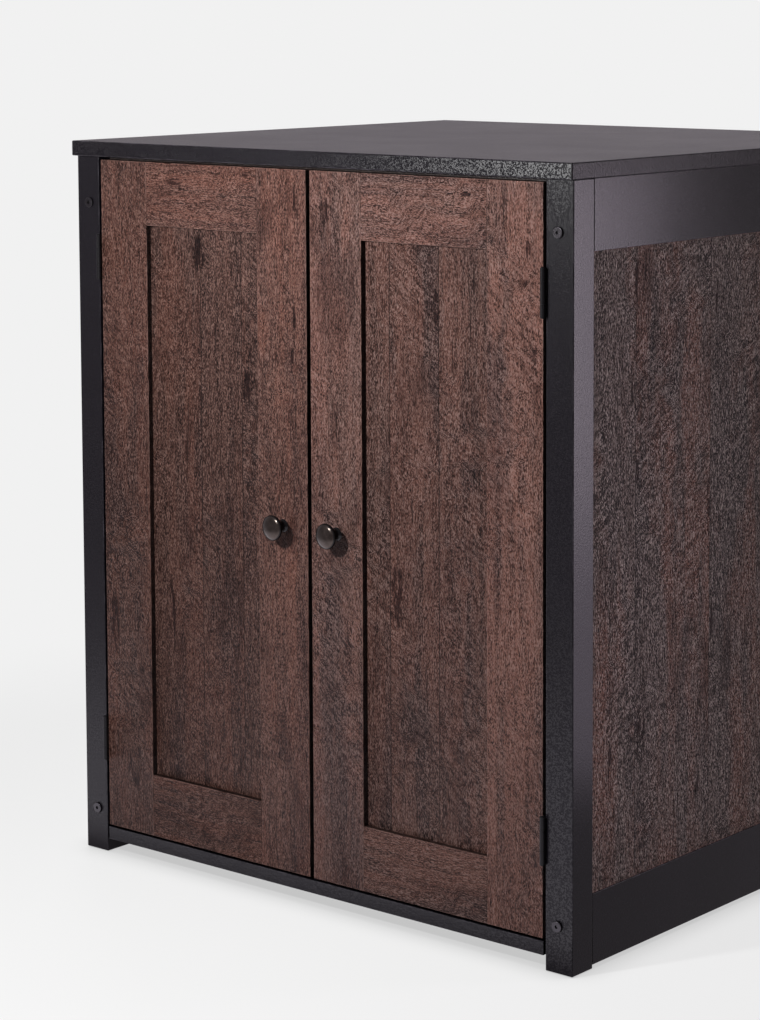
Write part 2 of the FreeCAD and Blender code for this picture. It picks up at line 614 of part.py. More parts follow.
def cable_grommets():
    """Plastic rings that line the cable holes, with a flange on the inside of the back."""
    sleeve = CABLE_HOLE_RADIUS - GROMMET_FIT
    bore = sleeve - GROMMET_WALL
    flange = CABLE_HOLE_RADIUS + GROMMET_FLANGE
    ring = turned(outline([
        (bore, GROMMET_FLANGE_THICKNESS), (flange, GROMMET_FLANGE_THICKNESS), (flange, 0), (sleeve, 0),
        (sleeve, -BACK_PANEL_THICKNESS), (bore, -BACK_PANEL_THICKNESS)]))
    return [place(ring, middle, Y) for middle in cable_hole_places()]


def front_rail():
    """Rail under the top, just behind the doors, that the catches hang from."""
    rail = block((-POST_INNER, POST_INNER), (FRONT_RAIL_FRONT, FRONT_RAIL_FRONT + FRONT_RAIL_THICKNESS),
                 (FRONT_RAIL_FOOT, CASE_HEIGHT))
    return cut_all(rail, DRILLING + [wood_screw_hole(*spot) for spot in catch_screw_places()])


# ------------------------------------------------------------------ catches
def catch_screw_places():
    """Face and direction of the two screws in each catch."""
    places = []
    reach = (CATCH_LENGTH + CATCH_EAR) / 2
    for side in SIDES.values():
        for offset in (-reach, reach):
            middle = FreeCAD.Vector(side * LATCH_STILE_MIDDLE + offset, CATCH_FRONT + CATCH_DEPTH / 2,
                                    FRONT_RAIL_FOOT - CATCH_EAR_THICKNESS)
            places.append((middle, Z))
    return places


def magnetic_catches():
    """Magnet housings with a screw ear at each end, hung under the front rail."""
    holes = [wood_screw_hole(*spot) for spot in catch_screw_places()]
    catches = []
    depth = (CATCH_FRONT, CATCH_FRONT + CATCH_DEPTH)
    for side in SIDES.values():
        middle = side * LATCH_STILE_MIDDLE
        half = CATCH_LENGTH / 2
        body = eased_block((middle - half, middle + half), depth, (CATCH_FOOT, FRONT_RAIL_FOOT), CATCH_EASE)
        ears = block((middle - half - CATCH_EAR, middle + half + CATCH_EAR),
                     (CATCH_FRONT + CATCH_EASE, CATCH_FRONT + CATCH_DEPTH - CATCH_EASE),
                     (FRONT_RAIL_FOOT - CATCH_EAR_THICKNESS, FRONT_RAIL_FOOT))
        catches.append(cut_all(body.fuse(ears).removeSplitter(), holes))
    return catches


# ------------------------------------------------------------------ interior
def shelf_pin_spots(row):
    """Middle of the mouth of each pin hole of one row, with the way into the board."""
    height = PIN_HOLE_FIRST + PIN_HOLE_PITCH * row
    spots = []
    for depth in (SHELF_FRONT + PIN_INSET, SHELF_BACK - PIN_INSET):
        spots.append((FreeCAD.Vector(PANEL_INNER, depth, height), X))
        spots.append((FreeCAD.Vector(DIVIDER_RIGHT_FACE, depth, height), -X))
    return spots


def shelf_pin_holes():
    """All rows of shelf pin holes, in the divider and in the right side panel."""
    spots = [spot for row in range(PIN_HOLE_COUNT) for spot in shelf_pin_spots(row)]
    depth = SHELF_PIN_DEPTH + DOWEL_END_PLAY
    return [peg(mouth, way, SHELF_PIN_RADIUS + SHELF_PIN_FIT, depth) for mouth, way in spots]


def shelf_pins():
    """Four stepped pins in the row of holes in use."""
    pins = []
    for mouth, way in shelf_pin_spots(PIN_HOLE_IN_USE):
        shank = peg(mouth, way, SHELF_PIN_RADIUS, SHELF_PIN_DEPTH)
        head = peg(mouth, -way, SHELF_PIN_HEAD_RADIUS, SHELF_PIN_HEAD_LENGTH)
        pins.append(shank.fuse(head).removeSplitter())
    return pins


def loose_shelf():
    """Shelf of the tower bay, resting on the shelf pins."""
    foot = PIN_HOLE_FIRST + PIN_HOLE_PITCH * PIN_HOLE_IN_USE + SHELF_PIN_HEAD_RADIUS
    return block((DIVIDER_RIGHT_FACE + SHELF_PLAY, PANEL_INNER - SHELF_PLAY), (SHELF_FRONT, SHELF_BACK),
                 (foot, foot + SHELF_THICKNESS))


def divider():
    """Upright between the leg space and the tower bay, dowelled to the bottom board."""
    board = block((DIVIDER_LEFT_FACE, DIVIDER_RIGHT_FACE), (DIVIDER_FRONT, BACK_RAIL_FRONT),
                  (BOTTOM_TOP, SHELF_FOOT))
    return cut_all(board, DRILLING + shelf_pin_holes())


def fixed_shelf():
    """Fixed shelf over the tower bay, on the divider and dowelled to the right side panel."""
    board = block((DIVIDER_LEFT_FACE, PANEL_INNER), (SHELF_FRONT, SHELF_BACK),
                  (SHELF_FOOT, SHELF_TOP))
    return cut_all(board, DRILLING)


def batten(side):
    """Packing piece between the posts that holds a slide clear of the open doors."""
    half = BATTEN_HEIGHT / 2
    blank = block(span(side, BATTEN_INNER, POST_INNER), (BATTEN_FRONT, BACK_PANEL_FRONT - BACK_PANEL_PLAY),
                  (SLIDE_HEIGHT_ABOVE_FLOOR - half, SLIDE_HEIGHT_ABOVE_FLOOR + half))
    long_screws = [place(batten_screw(SCREW_FIT), *spot) for spot in batten_screw_places()]
    short_screws = [wood_screw_hole(*spot) for spot in slide_screw_places()]
    return cut_all(blank, long_screws + short_screws)


def slide_screw_places():
    """Face and direction of the screws that hold the outer slide members to the battens."""
    face = BATTEN_INNER - SLIDE_STEEL
    return [(FreeCAD.Vector(side * face, depth, SLIDE_HEIGHT_ABOVE_FLOOR), X * side)
            for side in SIDES.values() for depth in even(SLIDE_FRONT, SLIDE_BACK, 3)]


def tray_screw_places():
    """Face and direction of the screws that hold the inner slide members to the tray's sides."""
    face = TRAY_OUTER + SLIDE_STEEL
    return [(FreeCAD.Vector(side * face, depth, SLIDE_HEIGHT_ABOVE_FLOOR), X * -side)
            for side in SIDES.values() for depth in even(SLIDE_BACK - TRAY_DEPTH, SLIDE_BACK, 2)]


def channel(side, web, lip, half_height, y):
    """Steel channel along Y: web and lip are distances from the centre line."""
    height = (SLIDE_HEIGHT_ABOVE_FLOOR - half_height, SLIDE_HEIGHT_ABOVE_FLOOR + half_height)
    shift = SLIDE_STEEL if lip > web else -SLIDE_STEEL
    outside = block(span(side, web, lip), y, height)
    inside = block(span(side, web + shift, lip + shift), y,
                   (height[0] + SLIDE_STEEL, height[1] - SLIDE_STEEL))
    return outside.cut(inside)


def outer_members():
    """Slide members screwed to the battens."""
    holes = [wood_screw_hole(*spot) for spot in slide_screw_places()]
    lip = TRAY_OUTER + SLIDE_LIP
    along = (SLIDE_FRONT, SLIDE_BACK)
    return [cut_all(channel(side, BATTEN_INNER, lip, SLIDE_HEIGHT / 2, along), holes)
            for side in SIDES.values()]


def middle_members():
    """Slide members that run at half the tray's travel."""
    web = BATTEN_INNER - SLIDE_STEEL - SLIDE_CLEAR
    half = SLIDE_HEIGHT / 2 - SLIDE_STEEL - SLIDE_CLEAR
    lip = TRAY_OUTER + SLIDE_STEEL + SLIDE_CLEAR
    along = (SLIDE_BACK - MIDDLE_LENGTH, SLIDE_BACK)
    return [channel(side, web, lip, half, along) for side in SIDES.values()]


def inner_members():
    """Slide members screwed to the sides of the tray."""
    half = SLIDE_HEIGHT / 2 - 2 * (SLIDE_STEEL + SLIDE_CLEAR)
    lip = BATTEN_INNER - 2 * (SLIDE_STEEL + SLIDE_CLEAR)
    along = (SLIDE_BACK - TRAY_DEPTH, SLIDE_BACK)
    holes = [wood_screw_hole(*spot) for spot in tray_screw_places()]
    return [cut_all(channel(side, TRAY_OUTER, lip, half, along), holes) for side in SIDES.values()]


def tray_sides():
    """Upright strips along the two sides of the keyboard tray."""
    holes = [wood_screw_hole(*spot) for spot in tray_screw_places()]
    depth = (SLIDE_BACK - TRAY_DEPTH, SLIDE_BACK)
    half = SLIDE_HEIGHT / 2
    height = (SLIDE_HEIGHT_ABOVE_FLOOR - half, SLIDE_HEIGHT_ABOVE_FLOOR + half)
    strips = [block(span(side, TRAY_OUTER - TRAY_SIDE_THICKNESS, TRAY_OUTER), depth, height)
              for side in SIDES.values()]
    return [cut_all(strip, holes) for strip in strips]


def tray_board():
    """Board of the keyboard tray, glued between its sides."""
    half = TRAY_OUTER - TRAY_SIDE_THICKNESS
    foot = SLIDE_HEIGHT_ABOVE_FLOOR - SLIDE_HEIGHT / 2 + TRAY_BOARD_RAISE
    return block((-half, half), (SLIDE_BACK - TRAY_DEPTH, SLIDE_BACK), (foot, foot + TRAY_BOARD_THICKNESS))


# ------------------------------------------------------------------ doors
GROOVE = (FRONT + PANEL_RECESS, FRONT + PANEL_RECESS + PANEL_THICKNESS)
TONGUE = (GROOVE[0] + GLUE_LINE, GROOVE[1] - GLUE_LINE)
STILE_INNER = DOOR_INNER_EDGE + STILE_WIDTH
STILE_OUTER = DOOR_OUTER_EDGE - STILE_WIDTH


def stile(side, inner, outer, groove_reach, tools):
    """Upright of a door, full height, grooved along the edge that faces the panel."""
    height = (DOOR_FOOT, DOOR_TOP)
    blank = eased_block(span(side, inner, outer), (FRONT, DOOR_BACK), height, DOOR_EASE)
    groove = block(span(side, *groove_reach), GROOVE, height)
    return cut_all(blank, [groove] + tools)


def door_rail(side, foot):
    """Rail of a door with a stub tenon at each end and a groove for the panel."""
    height = (foot, foot + DOOR_RAIL_WIDTH)
    blank = eased_block(span(side, STILE_INNER, STILE_OUTER), (FRONT, DOOR_BACK), height, DOOR_EASE)
    tenons = block(span(side, STILE_INNER - TONGUE_LENGTH, STILE_OUTER + TONGUE_LENGTH), TONGUE, height)
    rail = blank.fuse(tenons).removeSplitter()
    low = foot + DOOR_RAIL_WIDTH - GROOVE_DEPTH if foot == DOOR_FOOT else foot
    groove = block(span(side, STILE_INNER - GROOVE_DEPTH, STILE_OUTER + GROOVE_DEPTH), GROOVE,
                   (low, low + GROOVE_DEPTH))
    return rail.cut(groove)


def door_panel(side):
    """Flat panel held in the grooves of the stiles and rails."""
    low = DOOR_FOOT + DOOR_RAIL_WIDTH - TONGUE_LENGTH
    high = DOOR_TOP - DOOR_RAIL_WIDTH + TONGUE_LENGTH
    return block(span(side, STILE_INNER - TONGUE_LENGTH, STILE_OUTER + TONGUE_LENGTH), TONGUE, (low, high))


def knob(side):
    """Turned mushroom knob: a small foot, a waisted stem and a wide, nearly flat head."""
    head_back = KNOB_PROJECTION - KNOB_DOME - KNOB_RIM
    rim_front = KNOB_PROJECTION - KNOB_DOME
    base_top_radius = KNOB_BASE_RADIUS - KNOB_BASE_SLOPE
    rim_radius = KNOB_RADIUS - KNOB_RIM_ROUND

    def at(radius, out):
        return FreeCAD.Vector(radius, 0, out)

    flare = Part.BSplineCurve()
    flare.interpolate([at(base_top_radius, KNOB_BASE_THICKNESS), at(KNOB_STEM_RADIUS, KNOB_WAIST_OUT),
                       at(KNOB_FLARE_RADIUS, head_back - KNOB_FLARE_DEPTH), at(rim_radius, head_back)])
    rim = Part.Arc(at(rim_radius, head_back), at(KNOB_RADIUS, (head_back + rim_front) / 2),
                   at(rim_radius, rim_front))
    dome = Part.BSplineCurve()
    dome.interpolate(Points=[at(rim_radius, rim_front), at(rim_radius / 2, rim_front + KNOB_DOME * 3 / 4),
                             at(0, KNOB_PROJECTION)],
                     InitialTangent=at(-1, 2 * KNOB_DOME / rim_radius), FinalTangent=at(-1, 0))
    bore = KNOB_SCREW_RADIUS + MACHINE_SCREW_FIT
    bore_end = KNOB_SCREW_GRIP + DOWEL_END_PLAY
    foot = Part.LineSegment(at(bore, 0), at(KNOB_BASE_RADIUS, 0))
    foot_edge = Part.LineSegment(at(KNOB_BASE_RADIUS, 0), at(base_top_radius, KNOB_BASE_THICKNESS))
    axis = Part.LineSegment(at(0, KNOB_PROJECTION), at(0, bore_end))
    bore_top = Part.LineSegment(at(0, bore_end), at(bore, bore_end))
    bore_wall = Part.LineSegment(at(bore, bore_end), at(bore, 0))
    curves = (foot, foot_edge, flare, rim, dome, axis, bore_top, bore_wall)
    solid = turned([curve.toShape() for curve in curves])
    return place(solid, FreeCAD.Vector(side * LATCH_STILE_MIDDLE, FRONT, KNOB_HEIGHT), Y)


def knob_screw(side):
    """Machine screw from the inside of the door into the knob."""
    seat = FreeCAD.Vector(side * LATCH_STILE_MIDDLE, DOOR_BACK, KNOB_HEIGHT)
    shank = peg(seat, -Y, KNOB_SCREW_RADIUS, DOOR_THICKNESS + KNOB_SCREW_GRIP)
    head = peg(seat, Y, KNOB_SCREW_HEAD_RADIUS, KNOB_SCREW_HEAD)
    cross = cross_recess(KNOB_SCREW_HEAD_RADIUS * DRIVER_REACH, KNOB_SCREW_HEAD * DRIVER_DEPTH)
    recess = place(cross, seat + Y * KNOB_SCREW_HEAD, -Y)
    return shank.fuse(head).removeSplitter().cut(recess)


def knob_screw_hole(side):
    """Clearance hole for the knob screw through the latch stile."""
    seat = FreeCAD.Vector(side * LATCH_STILE_MIDDLE, DOOR_BACK, KNOB_HEIGHT)
    return rod(seat, Y, KNOB_SCREW_RADIUS + DOWEL_FIT, 3 * DOOR_THICKNESS)


def strike_screw_place(side):
    """Face and direction of the screw in a strike plate."""
    middle = FreeCAD.Vector(side * LATCH_STILE_MIDDLE, DOOR_BACK + STRIKE_THICKNESS,
                            CATCH_FOOT + CATCH_HEIGHT / 2)
    return middle, -Y


def strike_plate(side):
    """Steel plate on the back of the door that meets the catch."""
    middle, _ = strike_screw_place(side)
    x = (middle.x - STRIKE_WIDTH / 2, middle.x + STRIKE_WIDTH / 2)
    z = (middle.z - STRIKE_HEIGHT / 2, middle.z + STRIKE_HEIGHT / 2)
    plate = block(x, (DOOR_BACK, DOOR_BACK + STRIKE_THICKNESS), z)
    return plate.cut(wood_screw_hole(*strike_screw_place(side)))


# ------------------------------------------------------------------ hinges
def leaf_screw_heights():
    """Heights of the three screws in each hinge leaf."""
    return [middle + LEAF_SCREW_SPACING * step for middle in HINGE_HEIGHTS for step in (-1, 0, 1)]


def frame_leaf_screw_places(side):
    """Face and direction of the screws through the leaves on one post."""
    face = side * (POST_INNER - LEAF_THICKNESS)
    depth = FRONT + LEAF_WIDTH / 2
    return [(FreeCAD.Vector(face, depth, height), X * side) for height in leaf_screw_heights()]


def door_leaf_screw_places(side):
    """Face and direction of the screws through the leaves on one door."""
    face = side * (DOOR_OUTER_EDGE + LEAF_THICKNESS)
    depth = FRONT + LEAF_WIDTH / 2
    return [(FreeCAD.Vector(face, depth, height), X * -side) for height in leaf_screw_heights()]


def knuckle_spans(middle, on_door):
    """Heights that the knuckles of one leaf take: the door's in the middle, the post's at the ends."""
    low = middle - HINGE_LENGTH / 2
    high = middle + HINGE_LENGTH / 2
    if on_door:
        return [(low + END_KNUCKLE + KNUCKLE_GAP, high - END_KNUCKLE - KNUCKLE_GAP)]
    return [(low, low + END_KNUCKLE), (high - END_KNUCKLE, high)]


def leaf(side, middle, on_door):
    """Folded steel hinge leaf: a plate with its knuckles rolled round the pin."""
    if on_door:
        plate = (DOOR_OUTER_EDGE, DOOR_OUTER_EDGE + LEAF_THICKNESS)
        screws = door_leaf_screw_places(side)
        fit = PIN_RUNNING_FIT
    else:
        plate = (POST_INNER - LEAF_THICKNESS, POST_INNER)
        screws = frame_leaf_screw_places(side)
        fit = PIN_TIGHT_FIT
    half = HINGE_LENGTH / 2
    blank = block(span(side, *plate), (FRONT, FRONT + LEAF_WIDTH), (middle - half, middle + half))
    bores = []
    for low, high in knuckle_spans(middle, on_door):
        centre = FreeCAD.Vector(side * HINGE_X, HINGE_Y, (low + high) / 2)
        blank = blank.fuse(block(span(side, *plate), (HINGE_Y, FRONT + BARREL_CLEAR), (low, high)))
        blank = blank.fuse(rod(centre, Z, BARREL_RADIUS, high - low))
        bores.append(rod(centre, Z, PIN_RADIUS + fit, 2 * (high - low)))
    return cut_all(blank.removeSplitter(), bores + [wood_screw_hole(*spot) for spot in screws])


def hinge_pins():
    """Steel pins with a small domed head at each end, tight in the posts' knuckles."""
    half = HINGE_LENGTH / 2
    end = half + PIN_HEAD
    shoulder = end - PIN_HEAD_CHAMFER
    crown = PIN_HEAD_RADIUS - PIN_HEAD_CHAMFER
    pin = turned(outline([
        (0, end), (crown, end), (PIN_HEAD_RADIUS, shoulder), (PIN_HEAD_RADIUS, half), (PIN_RADIUS, half),
        (PIN_RADIUS, -half), (PIN_HEAD_RADIUS, -half), (PIN_HEAD_RADIUS, -shoulder), (crown, -end),
        (0, -end)]))
    pins = []
    for side in SIDES.values():
        for middle in HINGE_HEIGHTS:
            moved = pin.copy()
            moved.translate(FreeCAD.Vector(side * HINGE_X, HINGE_Y, middle))
            pins.append(moved)
    return pins


def door(name, side):
    """All the pieces of one door, by node name."""
    strike_hole = wood_screw_hole(*strike_screw_place(side))
    leaf_holes = [wood_screw_hole(*spot) for spot in door_leaf_screw_places(side)]
    screws = door_leaf_screw_places(side) + [strike_screw_place(side)]
    hinge_groove = (STILE_OUTER - DOOR_EASE, STILE_OUTER + GROOVE_DEPTH)
    latch_groove = (STILE_INNER - GROOVE_DEPTH, STILE_INNER + DOOR_EASE)
    latch_holes = [strike_hole, knob_screw_hole(side)]
    return {
        name + "_door_hinge_stile": [stile(side, STILE_OUTER, DOOR_OUTER_EDGE, hinge_groove, leaf_holes)],
        name + "_door_latch_stile": [stile(side, DOOR_INNER_EDGE, STILE_INNER, latch_groove, latch_holes)],
        name + "_door_top_rail": [door_rail(side, DOOR_TOP - DOOR_RAIL_WIDTH)],
        name + "_door_bottom_rail": [door_rail(side, DOOR_FOOT)],
        name + "_door_panel": [door_panel(side)],
        name + "_door_knob": [knob(side)],
        name + "_door_knob_screw": [knob_screw(side)],
        name + "_door_strike_plate": [strike_plate(side)],
        name + "_door_hinge_leaves": [leaf(side, middle, True) for middle in HINGE_HEIGHTS],
        name + "_door_screws": [wood_screw(*spot) for spot in screws],
    }


# ------------------------------------------------------------------ assembly
def cabinet_screws():
    """Every small countersunk screw that stays with the case."""
    places = bracket_screw_places() + catch_screw_places() + slide_screw_places()
    for side in SIDES.values():
        places += frame_leaf_screw_places(side)
    return [wood_screw(*spot) for spot in places]


def armoire():
    """Every node of the armoire and its solids."""
    frame_leaves = [leaf(side, middle, False) for side in SIDES.values() for middle in HINGE_HEIGHTS]
    batten_recess = cross_recess(BATTEN_SCREW_HEAD_RADIUS * DRIVER_REACH, SCREW_HEAD)
    long_screw = batten_screw().cut(batten_recess)
    nodes = {
        "top_panel": [top()],
        "bottom_panel": [bottom_board()],
        "back_panel": [back_panel()],
        "back_upper_rail": [back_rail(UPPER_RAIL_FOOT, UPPER_RAIL_HEIGHT)],
        "back_lower_rail": [back_rail(LOWER_RAIL_FOOT, LOWER_RAIL_HEIGHT)],
        "front_top_rail": [front_rail()],
        "floor_glides": floor_glides(),
        "frame_bolts": [place(bolt(), seat, way) for seat, way in bolt_places()],
        "barrel_nuts": barrel_nuts(),
        "dowels": [rod(middle, axis, DOWEL_RADIUS, DOWEL_LENGTH) for middle, axis in dowel_places()],
        "corner_brackets": corner_brackets(),
        "cabinet_screws": cabinet_screws(),
        "back_panel_screws": [place(pan_screw(), *spot) for spot in back_screw_places()],
        "batten_screws": [place(long_screw, *spot) for spot in batten_screw_places()],
        "magnetic_catches": magnetic_catches(),
        "cable_grommets": cable_grommets(),
        "hinge_frame_leaves": frame_leaves,
        "hinge_pins": hinge_pins(),
        "cpu_divider": [divider()],
        "fixed_shelf": [fixed_shelf()],
        "adjustable_shelf": [loose_shelf()],
        "shelf_pins": shelf_pins(),
        "slide_outer_members": outer_members(),
        "slide_middle_members": middle_members(),
        "slide_inner_members": inner_members(),
        "keyboard_tray": [tray_board()],
        "tray_sides": tray_sides(),
        "tray_screws": [wood_screw(*spot) for spot in tray_screw_places()],
    }
    for name, side in SIDES.items():
        nodes["front_" + name + "_post"] = [post(side, FRONT)]
        nodes["back_" + name + "_post"] = [post(side, RAIL_BACK)]
        nodes[name + "_upper_rail"] = [side_rail(side, UPPER_RAIL_FOOT, UPPER_RAIL_HEIGHT)]
        nodes[name + "_lower_rail"] = [side_rail(side, LOWER_RAIL_FOOT, LOWER_RAIL_HEIGHT)]
        nodes[name + "_side_panel"] = [side_panel(side)]
        nodes[name + "_slide_batten"] = [batten(side)]
        nodes.update(door(name, side))
    return nodes


os.makedirs("parts", exist_ok=True)
for node, solids in armoire().items():
    shape = solids[0] if len(solids) == 1 else Part.makeCompound(solids)
    shape.exportStep("parts/" + node + ".step")
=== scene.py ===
from math import radians

import bpy
import numpy as np
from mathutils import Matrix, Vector


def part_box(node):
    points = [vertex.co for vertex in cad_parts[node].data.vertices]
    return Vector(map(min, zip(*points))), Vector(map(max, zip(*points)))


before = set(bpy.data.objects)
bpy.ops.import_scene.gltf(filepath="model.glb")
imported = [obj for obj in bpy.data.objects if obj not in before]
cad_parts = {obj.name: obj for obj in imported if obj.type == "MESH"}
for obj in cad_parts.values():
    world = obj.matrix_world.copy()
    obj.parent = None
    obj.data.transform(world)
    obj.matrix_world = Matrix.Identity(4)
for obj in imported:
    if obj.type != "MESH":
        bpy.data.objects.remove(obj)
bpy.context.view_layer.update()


# ------------------------------------------------------------------ posts, side rails and bottom
# Square posts, wide rails and a bottom board of fibreboard under a charcoal foil with a fine
# pebble.  The rails are bolted between the posts, and use has rubbed their edges a little pale.
def swatch(code):
    """Colour of a paint chip, from its screen code to the light it reflects."""
    screen = np.array([int(code[place:place + 2], 16) for place in (0, 2, 4)]) / 255
    light = np.where(screen <= 0.04045, screen / 12.92, ((screen + 0.055) / 1.055) ** 2.4)
    return (*light.tolist(), 1.0)


def step(recipe, kind, *feeds, **settings):
    """One step of a finish: a node fed in the order of its sockets by values or earlier steps."""
    node = recipe.nodes.new("ShaderNode" + kind)
    for name, value in settings.items():
        setattr(node, name, value)
    for socket, feed in zip(node.inputs, feeds):
        if isinstance(feed, bpy.types.NodeSocket):
            recipe.links.new(feed, socket)
        elif feed is not None:
            socket.default_value = feed
    return node


def reckon(recipe, operation, *feeds):
    """One sum of a finish, such as ADD or MULTIPLY_ADD, as a socket."""
    return step(recipe, "Math", *feeds, operation=operation).outputs[0]


def vectors(recipe, operation, *feeds):
    """One sum of a finish done on all three axes at once, as a socket."""
    return step(recipe, "VectorMath", *feeds, operation=operation).outputs[0]


def fade(recipe, value, start, end, low=0.0, high=1.0):
    """Low before start, high past end, and a smooth S between them."""
    node = step(recipe, "MapRange", value, start, end, low, high, interpolation_type="SMOOTHSTEP")
    return node.outputs[0]


def between(recipe, amount, low, high):
    """A value from low, where amount is 0, to high, where it is 1."""
    return step(recipe, "Mix", amount, None, low, high).outputs[0]


def mottle(recipe, place, across, along, shift=0.0, detail=1.0, roughness=0.5):
    """Cloudy noise, mostly 0.3 to 0.7, with the given numbers of patches per metre across the
    grain, which is X and Y, and along it, which is Z."""
    scaled = vectors(recipe, "MULTIPLY_ADD", place, (across, across, along), (shift, shift, shift))
    return step(recipe, "TexNoise", scaled, None, 1.0, detail, roughness).outputs[0]


def vary(recipe, base, cloud, amount):
    """A base value that a cloud, whose middle is 0.5, moves up and down by some amount."""
    return reckon(recipe, "MULTIPLY_ADD", reckon(recipe, "SUBTRACT", cloud, 0.5), amount, base)


def coat(recipe, amount, under, over):
    """One colour laid over another: amount 0 shows the under coat, 1 the over coat."""
    mix = step(recipe, "Mix", amount, None, None, None, None, None, under, over, data_type="RGBA")
    return mix.outputs[2]


def dim(recipe, colour, shade):
    """A colour times a shade, which is 1 where the colour stays as it is."""
    return step(recipe, "VectorMath", colour, None, None, shade, operation="SCALE").outputs[0]


def facing(recipe, axis):
    """How squarely a face of the piece looks along one axis, either way: 1 is square on."""
    way = step(recipe, "SeparateXYZ", step(recipe, "TexCoord").outputs["Normal"]).outputs[axis]
    return reckon(recipe, "ABSOLUTE", way)


def new_recipe(name, feeds, results):
    """Empty finish group; feeds and results are its sockets, each a name and a kind."""
    recipe = bpy.data.node_groups.new(name, "ShaderNodeTree")
    for socket, kind in feeds.items():
        recipe.interface.new_socket(name=socket, in_out="INPUT", socket_type="NodeSocket" + kind)
    for socket, kind in results.items():
        recipe.interface.new_socket(name=socket, in_out="OUTPUT", socket_type="NodeSocket" + kind)
    return recipe, recipe.nodes.new("NodeGroupInput").outputs


def serve(recipe, **results):
    """Lead the finished sockets of a group to its outputs of the same names."""
    out = recipe.nodes.new("NodeGroupOutput")
    for name, socket in results.items():
        recipe.links.new(socket, out.inputs[name])
    return recipe


def edge_recipe():
    """Distance to the nearest free edge of a board between two corners, which is the middle one
    of the three distances to its faces, and to its nearest joined end: Free is 0 on such axes."""
    recipe, feed = new_recipe(
        "board edges",
        {"Position": "Vector", "Low": "Vector", "High": "Vector", "Free": "Vector"},
        {"Edge": "Float", "Joint": "Float"})
    above = vectors(recipe, "SUBTRACT", feed["Position"], feed["Low"])
    below = vectors(recipe, "SUBTRACT", feed["High"], feed["Position"])
    inside = vectors(recipe, "MINIMUM", above, below)
    butted = vectors(recipe, "SUBTRACT", (1, 1, 1), feed["Free"])
    x, y, z = step(recipe, "SeparateXYZ", vectors(recipe, "ADD", inside, butted)).outputs
    nearer = reckon(recipe, "MINIMUM", x, y)
    farther = reckon(recipe, "MAXIMUM", x, y)
    middle = reckon(recipe, "MAXIMUM", nearer, reckon(recipe, "MINIMUM", farther, z))
    x, y, z = step(recipe, "SeparateXYZ", vectors(recipe, "ADD", inside, feed["Free"])).outputs
    end = reckon(recipe, "MINIMUM", reckon(recipe, "MINIMUM", x, y), z)
    return serve(recipe, Edge=middle, Joint=end)


SQUARE_ON = 0.7                 # a face that looks along an axis has more of its normal there
FRONT_MATT = 0.15               # how much rougher the foil is on upright faces, front and back
PEBBLES = 480                   # pebbles per metre
GLINTS = 520                    # pebbles that catch the light, per metre


def charcoal_recipe():
    """Charcoal foil: a fine pebble, faint clouds, pale specks, rubbed edges and dark joints.
    Matt Face is the roughness of level faces, and Glint is the sparkle of single pebbles, as much
    as Glitter says, on the faces that look to the front or the back."""
    recipe, feed = new_recipe(
        "pebbled charcoal",
        {"Position": "Vector", "Edge": "Float", "Joint": "Float", "Foil": "Color", "Speck": "Color",
         "Specks": "Float", "Wear": "Float", "Matt": "Float", "Matt Face": "Float",
         "Glitter": "Float"},
        {"Color": "Color", "Roughness": "Float", "Height": "Float", "Glint": "Float"})
    place = feed["Position"]
    pebble = mottle(recipe, place, PEBBLES, PEBBLES, detail=2.0, roughness=0.6)
    cloud = mottle(recipe, place, across=9, along=5, shift=3.1, detail=3.0, roughness=0.6)
    shade = vary(recipe, 1.0, pebble, 1.4)
    foil = dim(recipe, feed["Foil"], vary(recipe, shade, cloud, 0.9))

    # pale specks of the print
    grit = mottle(recipe, place, across=900, along=900, shift=7.7)
    speck = reckon(recipe, "MULTIPLY", fade(recipe, grit, 0.56, 0.72), feed["Specks"])
    foil = coat(recipe, speck, foil, feed["Speck"])

    # edges rubbed here and there over their last millimetre and a half, and dark joints
    patchy = mottle(recipe, place, across=60, along=22, shift=5.2, detail=2.0, roughness=0.6)
    rubbed = fade(recipe, feed["Edge"], 0.0002, 0.0016, 1.0, 0.0)
    rubbed = reckon(recipe, "MULTIPLY", rubbed, fade(recipe, patchy, 0.42, 0.66))
    foil = coat(recipe, reckon(recipe, "MULTIPLY", rubbed, feed["Wear"]), foil, feed["Speck"])
    foil = dim(recipe, foil, fade(recipe, feed["Joint"], 0.0003, 0.0009))

    # gloss of level and upright faces
    flat = reckon(recipe, "GREATER_THAN", facing(recipe, "Z"), SQUARE_ON)
    front = reckon(recipe, "GREATER_THAN", facing(recipe, "Y"), SQUARE_ON)
    matt = between(recipe, flat, feed["Matt"], feed["Matt Face"])
    rough = vary(recipe, reckon(recipe, "MULTIPLY_ADD", front, FRONT_MATT, matt), cloud, 0.08)
    glint = mottle(recipe, place, GLINTS, GLINTS, shift=12.3)
    glint = reckon(recipe, "MULTIPLY", fade(recipe, glint, 0.46, 0.58), feed["Glitter"])
    glint = reckon(recipe, "MULTIPLY", glint, front)
    return serve(recipe, Color=foil, Roughness=rough, Height=pebble, Glint=glint)


EDGE = edge_recipe()
CHARCOAL = charcoal_recipe()
GLINT_ROUGHNESS = 0.16


def feed_shader(tree, finish, bump):
    """Lead a finish group to the shader of its material, its height through a Bump node."""
    shader = tree.nodes["Principled BSDF"]
    tree.links.new(finish.outputs["Height"], bump.inputs["Height"])
    tree.links.new(finish.outputs["Color"], shader.inputs["Base Color"])
    tree.links.new(finish.outputs["Roughness"], shader.inputs["Roughness"])
    tree.links.new(bump.outputs["Normal"], shader.inputs["Normal"])
    return shader


